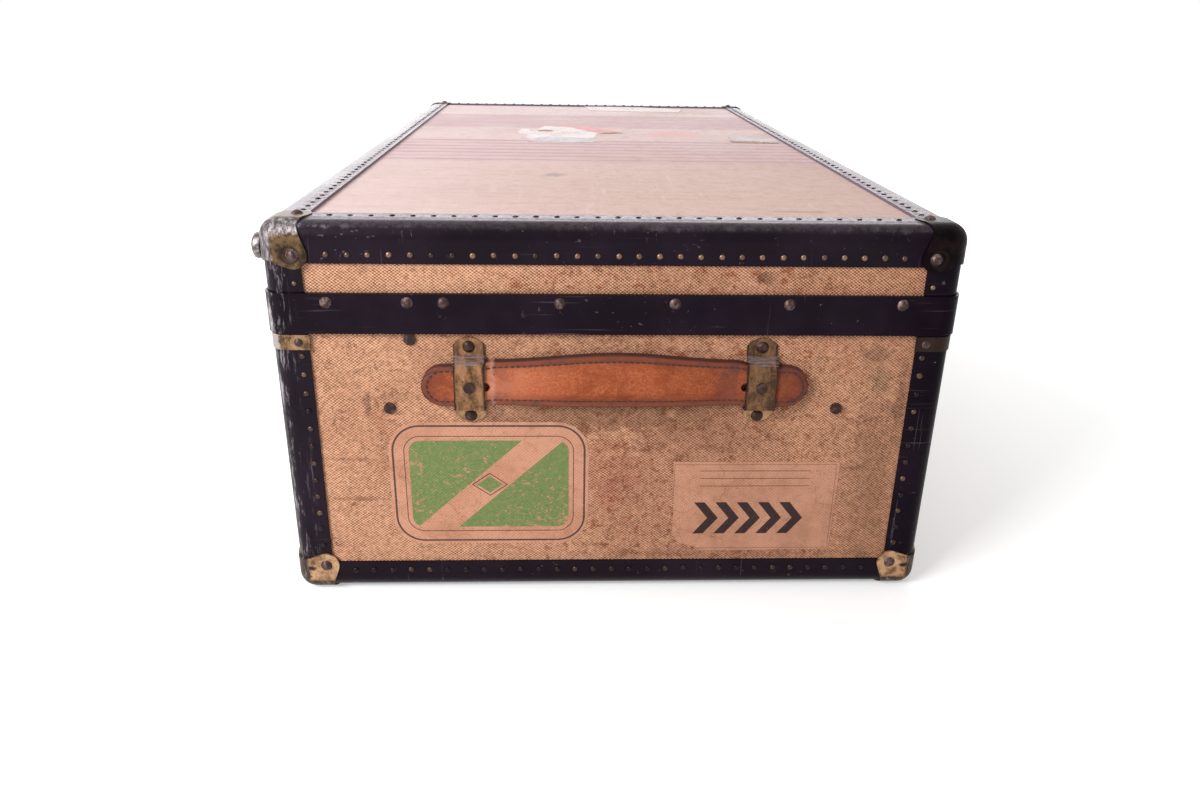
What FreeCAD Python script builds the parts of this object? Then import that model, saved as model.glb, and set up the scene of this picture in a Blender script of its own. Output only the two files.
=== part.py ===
import FreeCAD, Part
import math
import os

# A low cabin trunk. The lid opens upward on hinges along -X, and the lock is on +X.
# The ends with the leather handles face -Y (near) and +Y (far), and the trunk stands on z = 0.
# All lengths are in millimetres and all angles in degrees.

# Overall size: over the lid band in plan, and from the floor to the top bindings
trunk_width = 535.0
trunk_length = 1000.0
trunk_height = 317.0
lid_depth = 69.0
parting_gap = 0.3
edge_radius = 13.0

# Wall build-up, from the inside out
lining_thickness = 0.5
lining_setback = 4.0
panel_thickness = 9.0
canvas_thickness = 0.8
binding_thickness = 1.8

# Fibre bindings
top_binding_drop = 31.0
top_binding_width = 31.0
bottom_binding_rise = 28.4
bottom_binding_width = 31.0
corner_binding_width = 29.4
corner_relief = 14.0
mitre_gap = 0.5

# Corner caps, three round lobes each
cap_thickness = 1.6
cap_reach = 27.0
lobe_place = 24.5
lobe_radius = 10.7
cap_rivet_radius = 4.8
cap_rivet_height = 2.8
cap_shank_radius = 2.2

# Lid band, which hangs below the parting
band_thickness = 1.5
band_clearance = 0.6
band_overhang = 16.0
band_cover = 15.5
band_rivet_level = 8.7
band_rivet_radius = 4.5
band_rivet_rise = 2.2
band_shank_radius = 2.0
band_lap_pitch = 60.7
end_rivet_inset = 47.5
end_rivet_count = 6
side_rivet_count = 11

# Brass clips round the case corners, just below the band
clip_thickness = 1.0
clip_height = 12.0
clip_band_gap = 1.5
clip_reach = 30.5
clip_rivet_place = 22.0
clip_rivet_radius = 3.4
clip_rivet_rise = 1.5

# Clinched rivets on the ends
clinch_place = 178.5
clinch_drop = 20.8
odd_clinch_place = -159.5
odd_clinch_drop = 5.4
clinch_radius = 4.75
clinch_rise = 1.2

# Handle: leather strap with slotted ends, padded grip, brass brackets
strap_length = 304.0
strap_half_height = 17.0
strap_thickness = 7.0
strap_seat = 0.4
slot_inner_end = 98.0
slot_outer_end = 126.0
slot_clearance = 0.6
grip_length = 184.0
grip_end_gap = 0.4
grip_end_half_height = 18.0
grip_half_height = 20.0
grip_arch = 7.5
grip_end_crown = 1.2
grip_crown = 8.0
grip_lift = 2.0
bracket_spacing = 229.0
bracket_width = 24.0
bracket_sheet = 1.5
bracket_end_rise = 6.0
bracket_head_room = 0.8
bracket_side_room = 0.8
bracket_top_room = 3.2
top_step = 6.0
bottom_step = 2.0
top_tab = 15.0
bottom_tab = 11.8
top_rivet_inset = 7.6
bottom_rivet_inset = 5.0
bracket_rivet_radius = 4.9
bracket_rivet_rise = 2.6
bracket_shank_radius = 2.4
pin_radius = 3.2
pin_head_radius = 4.5
pin_head_rise = 1.0
pin_clearance = 0.1

# Hinges on the -X side
hinge_spacing_share = 0.33
leaf_width = 56.0
leaf_thickness = 1.6
case_leaf_height = 32.0
lid_leaf_inset = 1.5
knuckle_radius = 3.4
knuckle_clearance = 0.6
hinge_pin_radius = 1.6
pin_fit = 0.06
knuckle_gap = 0.4
lid_knuckle_length = 24.0
leaf_web_drop = 6.0

# Folding stays inside the ends
stay_arm_length = 90.0
stay_spread = 30.0
stay_arm_width = 12.0
stay_arm_sheet = 2.0
stay_gap = 0.5
stay_pin_radius = 2.5
stay_pin_fit = 0.08
stay_loose_fit = 0.3
stay_head_radius = 4.2
stay_head_rise = 1.2
stay_plate_width = 26.0
stay_plate_height = 22.0
stay_plate_sheet = 1.5

# Hasps on the +X side: one on the lock and one on each clasp
hasp_width = 30.0
hasp_sheet = 2.0
hasp_axis_drop = 8.0
clasp_drop = 50.0
lock_hasp_drop = 38.0
hasp_plate_inset = 1.5
hasp_plate_width = 40.0
hasp_plate_sheet = 1.6
hasp_knuckle_radius = 3.2
hasp_knuckle_length = 18.0
hasp_pin_radius = 1.5
hasp_back_room = 0.4
lip_radius = 4.0
hasp_corner_radius = 7.0
clasp_spacing_share = 0.62

# Clasp catches on the case: a plate, a boss and a domed stud that fills the clasp's hole
catch_width = 40.0
catch_height = 42.0
catch_sheet = 1.6
catch_drop = 34.0
boss_foot_radius = 14.0
boss_top_radius = 11.0
boss_clearance = 0.4
stud_radius = 6.0
stud_rise = 3.0
stud_clearance = 0.9
catch_corner_radius = 8.0

# Lock: pressed case, key plug with a crank pin, sliding bolt, staple on the hasp
lock_width = 74.0
lock_flange = 10.0
lock_height = 64.0
lock_top_room = 4.0
lock_sheet = 1.4
lock_corner_radius = 8.0
lock_front_room = 0.4
staple_drop = 29.0
staple_width = 5.0
staple_length = 11.0
staple_wall = 1.0
staple_floor_room = 0.3
notch_clearance = 0.8
notch_drop = 3.0
bolt_sheet = 1.8
bolt_height = 4.0
bolt_clearance = 0.4
bolt_tail_width = 12.0
plug_level = 20.0
plug_radius = 6.0
plug_rise = 1.6
plug_flange_radius = 8.0
plug_flange_sheet = 1.0
key_slot_width = 1.8
key_slot_length = 7.0
key_slot_depth = 2.0
crank_radius = 5.0
crank_pin_radius = 1.3

# One overrun serves all cuts
overrun = 20.0

# Derived levels: the parting, the fittings that follow it, and the handle below the band
parting_height = trunk_height - lid_depth
band_bottom = parting_height - band_overhang
band_top = parting_height + band_cover
band_rivet_height = parting_height + band_rivet_level
clip_top = band_bottom - clip_band_gap
clip_bottom = clip_top - clip_height
strap_loop = strap_half_height + bracket_side_room
handle_height = band_bottom - bracket_top_room - top_tab - top_step - strap_loop
hasp_axis_height = parting_height - hasp_axis_drop
hasp_plate_top = band_top - hasp_plate_inset
catch_place = hasp_axis_height - catch_drop
lock_top = band_bottom - lock_top_room
lock_bottom = lock_top - lock_height
staple_height = hasp_axis_height - staple_drop
plug_height = lock_bottom + plug_level

# Derived planes: half sizes in plan of each layer, and its levels
binding_half_width = trunk_width / 2 - band_thickness - band_clearance
binding_half_length = trunk_length / 2 - band_thickness - band_clearance
canvas_half_width = binding_half_width - binding_thickness
canvas_half_length = binding_half_length - binding_thickness
inner_half_width = canvas_half_width - canvas_thickness - panel_thickness
inner_half_length = canvas_half_length - canvas_thickness - panel_thickness
binding_low = cap_thickness
floor_top = binding_low + binding_thickness + canvas_thickness + panel_thickness
lid_underside = trunk_height - binding_thickness - canvas_thickness - panel_thickness
case_rim = parting_height - parting_gap
mid_height = (binding_low + trunk_height) / 2

# Hinge axis: just outside the band and below its lower edge, so that the band swings clear
hinge_x = -trunk_width / 2 - leaf_thickness / 2
hinge_z = band_bottom - knuckle_clearance - knuckle_radius

# Hasp axis: clear of the band by the knuckle's own radius
hasp_axis_x = trunk_width / 2 + hasp_back_room + hasp_knuckle_radius
hasp_back_x = hasp_axis_x - hasp_sheet / 2
hasp_front_x = hasp_axis_x + hasp_sheet / 2

# A quarter turn of the crank pin, from one diagonal to the other, slides the bolt across
bolt_throw = crank_radius * math.sqrt(2)

# The part is shifted so that its bounding box is centred on the origin in x
hinge_reach = -hinge_x + knuckle_radius
lip_reach = hasp_front_x + lip_radius
centre_shift = (hinge_reach - lip_reach) / 2

ORIGIN = FreeCAD.Vector(0, 0, 0)
X_AXIS = FreeCAD.Vector(1, 0, 0)
Y_AXIS = FreeCAD.Vector(0, 1, 0)
Z_AXIS = FreeCAD.Vector(0, 0, 1)


def vec(x, y, z):
    return FreeCAD.Vector(x, y, z)


def slab(low, high):
    """A box between two opposite corners."""
    size = [b - a for a, b in zip(low, high)]
    return Part.makeBox(*size, vec(*low))


def envelope(offset):
    """The closed trunk as a block rounded on all edges, offset outward from the bindings' face."""
    half_x = binding_half_width + offset
    half_y = binding_half_length + offset
    low = vec(-half_x, -half_y, binding_low - offset)
    high = vec(half_x, half_y, trunk_height + offset)
    block = slab(low, high)
    return block.makeFillet(edge_radius + offset, block.Edges)


def layer(outer_offset, inner_offset):
    """The shell between two envelopes."""
    return envelope(outer_offset).cut(envelope(inner_offset))


def reach(low_z, high_z):
    """A slab that holds the whole plan between two levels."""
    half_x = trunk_width / 2 + overrun
    half_y = trunk_length / 2 + overrun
    return slab(vec(-half_x, -half_y, low_z), vec(half_x, half_y, high_z))


def prism(points, direction):
    """A straight-sided solid over a flat polygon."""
    wire = Part.makePolygon(points + [points[0]])
    return Part.Face(wire).extrude(direction)


def turned(shape):
    """The same shape at the far end: half a turn about z."""
    copy = shape.copy()
    copy.rotate(ORIGIN, Z_AXIS, 180)
    return copy


def mirrored(shape, normal, height=0.0):
    return shape.mirror(vec(0, 0, height), normal)


def four_corners(shape):
    """A shape at the +X +Y corner, and its mirror images at the other three."""
    pair = [shape, mirrored(shape, X_AXIS)]
    return pair + [mirrored(one, Y_AXIS) for one in pair]


def save(name, solids):
    compound = Part.makeCompound(solids)
    compound.translate(vec(centre_shift, 0, 0))
    compound.exportStep("parts/" + name + ".step")


def rivet(foot, outward, head_radius, head_rise, shank_radius, shank_length):
    """A domed head on a surface, with a shank that fills the hole behind it."""
    ball = (head_radius**2 + head_rise**2) / (2 * head_rise)
    side = outward.cross(Z_AXIS if abs(outward.z) < 1 / 2 else X_AXIS)
    half_angle = math.asin(head_radius / ball) / 2
    rim = foot + side * head_radius
    crown = foot + outward * head_rise
    between = foot + outward * (head_rise - ball + ball * math.cos(half_angle))
    between = between + side * (ball * math.sin(half_angle))
    profile = [
        Part.Arc(crown, between, rim).toShape(),
        Part.makeLine(rim, foot + side * shank_radius),
        Part.makeLine(foot + side * shank_radius, foot + side * shank_radius - outward * shank_length),
        Part.makeLine(foot + side * shank_radius - outward * shank_length, foot - outward * shank_length),
        Part.makeLine(foot - outward * shank_length, crown),
    ]
    return Part.Face(Part.Wire(profile)).revolve(foot, outward, 360)


def shank_hole(foot, outward, radius, depth):
    """A drill that takes a shank behind a surface, and clears the surface itself."""
    return Part.makeCylinder(radius, depth + overrun, foot - outward * depth, outward)


def strip_outline(path, thickness):
    """A polyline in a plane, closed by its copy offset to the left of its run."""
    offset = []
    for index, point in enumerate(path):
        before = path[max(index - 1, 0)]
        after = path[min(index + 1, len(path) - 1)]
        run_in = (point - before if index else after - point).normalize()
        run_out = (after - point if index < len(path) - 1 else point - before).normalize()
        left_in = vec(-run_in.y, run_in.x, 0)
        left_out = vec(-run_out.y, run_out.x, 0)
        middle = left_in + left_out
        offset.append(point + middle * (2 * thickness / middle.dot(middle)))
    return path + offset[::-1]


def rounded_plate(low, high, radius, normal_edges):
    """A slab with its four edges along one axis rounded."""
    block = slab(low, high)
    edges = [e for e in block.Edges if abs(e.tangentAt(e.FirstParameter).dot(normal_edges)) > 1 / 2]
    return block.makeFillet(radius, edges)


def make_panels():
    """Plywood floor, walls, lid top and lid rails, with the rounded edges of the finished trunk."""
    block = envelope(-binding_thickness - canvas_thickness)
    half_x = trunk_width / 2
    half_y = trunk_length / 2
    save("floor_panel", [block.common(reach(-overrun, floor_top))])
    save("lid_top_panel", [block.common(reach(lid_underside, trunk_height + overrun))])
    levels = {"panel": (floor_top, case_rim), "rail": (parting_height, lid_underside)}
    for kind, (low, high) in levels.items():
        prefix = "lid_" if kind == "rail" else ""
        end_word = "_rail" if kind == "rail" else "_end_panel"
        side_word = "_rail" if kind == "rail" else "_side_panel"
        lock = slab(vec(inner_half_width, -half_y, low), vec(half_x, half_y, high))
        far = slab(vec(-inner_half_width, inner_half_length, low), vec(inner_half_width, half_y, high))
        save(prefix + "lock" + side_word, [block.common(lock)])
        save(prefix + "hinge" + side_word, [block.common(mirrored(lock, X_AXIS))])
        save(prefix + "far" + end_word, [block.common(far)])
        save(prefix + "near" + end_word, [block.common(mirrored(far, Y_AXIS))])


def make_skins():
    """Canvas outside and paper lining inside, on the case and on the lid."""
    canvas = layer(-binding_thickness, -binding_thickness - canvas_thickness)
    save("case_canvas", [canvas.common(reach(-overrun, case_rim))])
    save("lid_canvas", [canvas.common(reach(parting_height, trunk_height + overrun))])
    clear_x = inner_half_width - lining_thickness
    clear_y = inner_half_length - lining_thickness
    case_top = case_rim - lining_setback
    lid_low = parting_height + lining_setback
    case_outside = slab(
        vec(-inner_half_width, -inner_half_length, floor_top),
        vec(inner_half_width, inner_half_length, case_top),
    )
    case_inside = slab(
        vec(-clear_x, -clear_y, floor_top + lining_thickness),
        vec(clear_x, clear_y, case_top + overrun),
    )
    lid_outside = slab(
        vec(-inner_half_width, -inner_half_length, lid_low),
        vec(inner_half_width, inner_half_length, lid_underside),
    )
    lid_inside = slab(
        vec(-clear_x, -clear_y, lid_low - overrun),
        vec(clear_x, clear_y, lid_underside - lining_thickness),
    )
    save("case_lining", [case_outside.cut(case_inside)])
    save("lid_lining", [lid_outside.cut(lid_inside)])


def mitre_wedges(half_x, half_y, depth, low, high, gap):
    """Four prisms that part a ring into its sides at 45 degrees: near, far, lock side, hinge side."""
    out_x = half_x + overrun
    out_y = half_y + overrun
    in_x = half_x - depth
    in_y = half_y - depth
    rise = vec(0, 0, high - low)
    near_out = out_x - gap
    near_in = in_x - gap
    near_corners = [
        vec(-near_out, -out_y, low),
        vec(near_out, -out_y, low),
        vec(near_in, -in_y, low),
        vec(-near_in, -in_y, low),
    ]
    near = prism(near_corners, rise)
    lock = prism(
        [vec(out_x, -out_y, low), vec(out_x, out_y, low), vec(in_x, in_y, low), vec(in_x, -in_y, low)], rise
    )
    return [near, mirrored(near, Y_AXIS), lock, mirrored(lock, X_AXIS)]


def edge_ring(shell, low, high, width, notch_low, notch_high):
    """Four mitred angle strips along the edges of one large face."""
    hole_x = binding_half_width - width
    hole_y = binding_half_length - width
    hole = slab(vec(-hole_x, -hole_y, low - overrun), vec(hole_x, hole_y, high + overrun))
    ring = shell.common(reach(low, high)).cut(hole)
    # The strips are notched under the ball of each corner cap
    notch = slab(
        vec(binding_half_width - corner_relief, binding_half_length - corner_relief, notch_low),
        vec(binding_half_width + overrun, binding_half_length + overrun, notch_high),
    )
    ring = ring.cut(four_corners(notch))
    wedges = mitre_wedges(
        binding_half_width, binding_half_length, 2 * width, low - overrun, high + overrun, mitre_gap
    )
    return [ring.common(wedge) for wedge in wedges]


def corner_strips(shell, low, high, width):
    """Four angle strips up the vertical corners."""
    corner = slab(
        vec(binding_half_width - width, binding_half_length - width, low),
        vec(binding_half_width + overrun, binding_half_length + overrun, high),
    )
    return [shell.common(one) for one in four_corners(corner)]


def make_bindings():
    shell = layer(0, -binding_thickness)
    top_low = trunk_height - top_binding_drop
    top_high = trunk_height + overrun
    top_notch = trunk_height - corner_relief
    bottom_notch = binding_low + corner_relief
    bottom = edge_ring(shell, 0, bottom_binding_rise, bottom_binding_width, -overrun, bottom_notch)
    top = edge_ring(shell, top_low, top_high, top_binding_width, top_notch, top_high)
    save("bottom_bindings", bottom)
    save("lid_top_bindings", top)
    save("case_corner_bindings", corner_strips(shell, bottom_binding_rise, case_rim, corner_binding_width))
    save("lid_corner_bindings", corner_strips(shell, parting_height, top_low, corner_binding_width))


def lobe_outline(place):
    """One face of a corner cap, in distances p and q inward from the corner's two edges."""
    centre = vec(lobe_place, lobe_place, 0)
    edge = vec(cap_reach, 0, 0)
    gap = centre - edge
    tangent = math.sqrt(gap.dot(gap) - lobe_radius**2)
    angle = math.atan2(gap.y, gap.x) - math.asin(lobe_radius / gap.Length)
    touch = edge + vec(math.cos(angle), math.sin(angle), 0) * tangent
    tip = centre + vec(1, 1, 0).normalize() * lobe_radius

    def at(point):
        return place(point.x, point.y)

    def swap(point):
        return vec(point.y, point.x, 0)

    outside = vec(-overrun, -overrun, 0)
    beyond = vec(cap_reach, -overrun, 0)
    lines = [outside, beyond, edge, touch]
    edges = [Part.makeLine(at(a), at(b)) for a, b in zip(lines, lines[1:])]
    edges.append(Part.Arc(at(touch), at(tip), at(swap(touch))).toShape())
    back = [swap(point) for point in lines[::-1]]
    edges += [Part.makeLine(at(a), at(b)) for a, b in zip(back, back[1:])]
    return Part.Face(Part.Wire(edges))


def corner_faces():
    """For the top corner at +X +Y: how p, q and depth lie on each of the cap's three faces."""
    corner = vec(binding_half_width, binding_half_length, trunk_height)
    axes = [X_AXIS, Y_AXIS, Z_AXIS]
    faces = []
    for index in range(3):
        first = axes[(index + 1) % 3]
        second = axes[(index + 2) % 3]
        faces.append((corner, first, second, axes[index]))
    return faces


def make_caps():
    """Corner caps drawn from sheet: a ball corner with three round lobes, one rivet in each lobe."""
    shell = layer(cap_thickness, 0)
    parts = []
    rivets = []
    for corner, first, second, outward in corner_faces():

        def place(p, q):
            return corner - first * p - second * q - outward * edge_radius

        lobe = lobe_outline(place).extrude(outward * (edge_radius + overrun))
        parts.append(lobe)
        foot = corner - first * lobe_place - second * lobe_place + outward * cap_thickness
        rivets.append((foot, outward))
    region = parts[0].fuse(parts[1:])
    blank = shell.common(region)
    top_cap = blank
    bottom_cap = blank
    top_rivets = []
    bottom_rivets = []
    for foot, outward in rivets:
        drill = shank_hole(foot, outward, cap_shank_radius, cap_thickness)
        head = rivet(foot, outward, cap_rivet_radius, cap_rivet_height, cap_shank_radius, cap_thickness)
        top_cap = top_cap.cut(drill)
        top_rivets.append(head)
        if outward == Z_AXIS:
            # The underside lobe takes a flat rivet let in flush, because the trunk stands on it
            bottom_cap = bottom_cap.cut(shank_hole(foot, outward, cap_rivet_radius, cap_thickness))
            bottom_rivets.append(Part.makeCylinder(cap_rivet_radius, cap_thickness, foot, outward * -1))
        else:
            bottom_cap = bottom_cap.cut(drill)
            bottom_rivets.append(head)
    lowered_cap = mirrored(bottom_cap, Z_AXIS, mid_height)
    lowered_rivets = [mirrored(one, Z_AXIS, mid_height) for one in bottom_rivets]
    save("top_corner_caps", four_corners(top_cap))
    save("bottom_corner_caps", four_corners(lowered_cap))
    save("top_cap_rivets", [c for one in top_rivets for c in four_corners(one)])
    save("bottom_cap_rivets", [c for one in lowered_rivets for c in four_corners(one)])


def plan_block(offset, low, high):
    """The band's plan, rounded at its corners, offset outward from the bindings' face."""
    half_x = binding_half_width + offset
    half_y = binding_half_length + offset
    return rounded_plate(
        vec(-half_x, -half_y, low), vec(half_x, half_y, high), edge_radius + offset, Z_AXIS
    )


def hinge_places():
    spacing = hinge_spacing_share * trunk_length
    return [-spacing, 0, spacing]


def hasp_places():
    """Places along y of the near clasp, the lock and the far clasp."""
    spacing = clasp_spacing_share * trunk_length
    return [-spacing / 2, 0, spacing / 2]


def band_rivet_feet():
    """Feet and outward directions of the band's rivets, left out where a fitting covers the band."""
    half_x = trunk_width / 2
    half_y = trunk_length / 2
    first_x = end_rivet_inset - half_x
    first_y = end_rivet_inset - half_y
    end_pitch = -2 * first_x / (end_rivet_count - 1)
    side_pitch = -2 * first_y / (side_rivet_count - 1)
    feet = []
    for index in range(end_rivet_count):
        x = first_x + index * end_pitch
        feet.append((vec(x, -half_y, band_rivet_height), Y_AXIS * -1))
        feet.append((vec(x, half_y, band_rivet_height), Y_AXIS))
    feet.append((vec(first_x + band_lap_pitch, -half_y, band_rivet_height), Y_AXIS * -1))
    sides = [
        (half_x, X_AXIS, hasp_places(), hasp_plate_width / 2),
        (-half_x, X_AXIS * -1, hinge_places(), leaf_width / 2),
    ]
    for x, outward, fittings, half_fitting in sides:
        for index in range(side_rivet_count):
            y = first_y + index * side_pitch
            if all(abs(y - place) > half_fitting + 2 * band_rivet_radius for place in fittings):
                feet.append((vec(x, y, band_rivet_height), outward))
    return feet


def make_band():
    """Steel band round the lid, its packing strips on the canvas, and its rivets."""
    gap_outer = band_clearance + band_thickness
    ring = plan_block(gap_outer, band_bottom, band_top).cut(
        plan_block(band_clearance, band_bottom - overrun, band_top + overrun)
    )
    feet = band_rivet_feet()
    for foot, outward in feet:
        ring = ring.cut(shank_hole(foot, outward, band_shank_radius, band_thickness))
    wedges = mitre_wedges(
        binding_half_width, binding_half_length, 2 * edge_radius, band_bottom - overrun, band_top + overrun, 0
    )
    save("lid_band", [ring.common(wedge) for wedge in wedges])
    save(
        "band_rivets",
        [
            rivet(foot, outward, band_rivet_radius, band_rivet_rise, band_shank_radius, band_thickness)
            for foot, outward in feet
        ],
    )
    run_x = binding_half_width - corner_binding_width
    run_y = binding_half_length - corner_binding_width
    face_x = binding_half_width + band_clearance
    face_y = binding_half_length + band_clearance
    near = slab(vec(-run_x, -face_y, parting_height), vec(run_x, -canvas_half_length, band_top))
    lock = slab(vec(canvas_half_width, -run_y, parting_height), vec(face_x, run_y, band_top))
    save("band_packing", [near, mirrored(near, Y_AXIS), lock, mirrored(lock, X_AXIS)])


def make_clips():
    """Brass clips that guard the case corners below the band."""
    corner = slab(
        vec(binding_half_width - clip_reach, binding_half_length - clip_reach, clip_bottom),
        vec(binding_half_width + overrun, binding_half_length + overrun, clip_top),
    )
    clip = layer(clip_thickness, 0).common(corner)
    middle = (clip_bottom + clip_top) / 2
    feet = [
        (vec(binding_half_width + clip_thickness, binding_half_length - clip_rivet_place, middle), X_AXIS),
        (vec(binding_half_width - clip_rivet_place, binding_half_length + clip_thickness, middle), Y_AXIS),
    ]
    rivets = []
    for foot, outward in feet:
        clip = clip.cut(shank_hole(foot, outward, cap_shank_radius, clip_thickness))
        rivets.append(
            rivet(foot, outward, clip_rivet_radius, clip_rivet_rise, cap_shank_radius, clip_thickness)
        )
    save("corner_clips", four_corners(clip))
    save("clip_rivets", [c for one in rivets for c in four_corners(one)])


def end_face(x, depth, z):
    """A point on the near end, at a depth outward from the canvas."""
    return vec(x, -canvas_half_length - depth, z)


def make_clinch_rivets():
    out = Y_AXIS * -1

    def flat(x, z):
        return Part.makeCylinder(clinch_radius, clinch_rise, end_face(x, 0, z), out)

    clinch_height = handle_height - clinch_drop
    pair = [flat(-clinch_place, clinch_height), flat(clinch_place, clinch_height)]
    odd = flat(odd_clinch_place, band_bottom - odd_clinch_drop)
    save("clinch_rivets", pair + [turned(one) for one in pair] + [odd])


def bracket_ends():
    """The levels of a bracket's top and bottom ends."""
    top = handle_height + strap_loop + top_step + top_tab
    bottom = handle_height - strap_loop - bottom_step - bottom_tab
    return top, bottom


def bracket_blank(x):
    """A sheet strip bent up into a loop for the strap, arched at both ends."""
    room = strap_seat + strap_thickness + bracket_head_room
    top, bottom = bracket_ends()
    path = [
        vec(0, top, 0),
        vec(0, top - top_tab, 0),
        vec(room, handle_height + strap_loop, 0),
        vec(room, handle_height - strap_loop, 0),
        vec(0, bottom + bottom_tab, 0),
        vec(0, bottom, 0),
    ]
    half = bracket_width / 2
    points = [end_face(x - half, p.x, p.y) for p in strip_outline(path, bracket_sheet)]
    bent = prism(points, X_AXIS * bracket_width)
    reach_out = room + bracket_sheet + overrun
    low_left = end_face(x - half, reach_out, bottom + bracket_end_rise)
    low_right = end_face(x + half, reach_out, bottom + bracket_end_rise)
    high_right = end_face(x + half, reach_out, top - bracket_end_rise)
    high_left = end_face(x - half, reach_out, top - bracket_end_rise)
    edges = [
        Part.Arc(low_left, end_face(x, reach_out, bottom), low_right).toShape(),
        Part.makeLine(low_right, high_right),
        Part.Arc(high_right, end_face(x, reach_out, top), high_left).toShape(),
        Part.makeLine(high_left, low_left),
    ]
    outline = Part.Face(Part.Wire(edges)).extrude(Y_AXIS * (reach_out + overrun))
    return bent.common(outline)


def make_brackets():
    out = Y_AXIS * -1
    brackets = []
    rivets = []
    pins = []
    raised = strap_seat + strap_thickness + bracket_head_room + bracket_sheet
    top, bottom = bracket_ends()
    for x in (-bracket_spacing / 2, bracket_spacing / 2):
        bracket = bracket_blank(x)
        for z in (top - top_rivet_inset, bottom + bottom_rivet_inset):
            foot = end_face(x, bracket_sheet, z)
            bracket = bracket.cut(shank_hole(foot, out, bracket_shank_radius, bracket_sheet))
            rivets.append(
                rivet(foot, out, bracket_rivet_radius, bracket_rivet_rise, bracket_shank_radius, bracket_sheet)
            )
        head = end_face(x, raised, handle_height)
        bracket = bracket.cut(shank_hole(head, out, pin_radius + pin_clearance, bracket_sheet))
        shank = Part.makeCylinder(pin_radius, raised, end_face(x, 0, handle_height), out)
        pins.append(shank.fuse(Part.makeCylinder(pin_head_radius, pin_head_rise, head, out)))
        brackets.append(bracket)
    for end, place in (("near", lambda s: s), ("far", turned)):
        save(end + "_handle_brackets", [place(one) for one in brackets])
        save(end + "_bracket_rivets", [place(one) for one in rivets])
        save(end + "_strap_pins", [place(one) for one in pins])


def strap_end():
    """The strap beyond the grip on the +X side: round at its tip, with a slot for the pin."""
    start = grip_length / 2 + grip_end_gap
    tip_centre = strap_length / 2 - strap_half_height
    thick = Y_AXIS * -strap_thickness
    low = end_face(start, strap_seat, handle_height - strap_half_height)
    corner_low = end_face(tip_centre, strap_seat, handle_height - strap_half_height)
    corner_high = end_face(tip_centre, strap_seat, handle_height + strap_half_height)
    high = end_face(start, strap_seat, handle_height + strap_half_height)
    tip = end_face(strap_length / 2, strap_seat, handle_height)
    edges = [
        Part.makeLine(low, corner_low),
        Part.Arc(corner_low, tip, corner_high).toShape(),
        Part.makeLine(corner_high, high),
        Part.makeLine(high, low),
    ]
    body = Part.Face(Part.Wire(edges)).extrude(thick)
    half_slot = pin_radius + slot_clearance
    slot = rounded_plate(
        end_face(slot_inner_end, strap_seat + strap_thickness + overrun, handle_height - half_slot),
        end_face(slot_outer_end, -overrun, handle_height + half_slot),
        half_slot - pin_clearance,
        Y_AXIS,
    )
    return body.cut(slot)


def grip_section(share):
    """The grip's outline at a share of its half length: flat back, thin edges and a crowned front."""
    swell = 1 - share**2
    half = grip_end_half_height + (grip_half_height - grip_end_half_height) * swell
    crown = grip_end_crown + (grip_crown - grip_end_crown) * swell
    back = strap_seat + grip_lift * swell
    edge = back + strap_thickness
    middle = handle_height + grip_arch * swell
    x = share * grip_length / 2
    low_back = end_face(x, back, middle - half)
    high_back = end_face(x, back, middle + half)
    high_edge = end_face(x, edge, middle + half)
    low_edge = end_face(x, edge, middle - half)
    edges = [
        Part.makeLine(low_back, high_back),
        Part.makeLine(high_back, high_edge),
        Part.Arc(high_edge, end_face(x, edge + crown, middle), low_edge).toShape(),
        Part.makeLine(low_edge, low_back),
    ]
    return Part.Wire(edges)


def make_straps():
    grip_shares = [-1, -0.7, -0.35, 0, 0.35, 0.7, 1]
    grip = Part.makeLoft([grip_section(share) for share in grip_shares], True, False)
    right = strap_end()
    ends = [mirrored(right, X_AXIS), right]
    for end, place in (("near", lambda s: s), ("far", turned)):
        save(end + "_strap_ends", [place(one) for one in ends])
        save(end + "_handle_grip", [place(grip)])


def knuckle(x, z, radius, y_low, y_high):
    return Part.makeCylinder(radius, y_high - y_low, vec(x, y_low, z), Y_AXIS)


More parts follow.
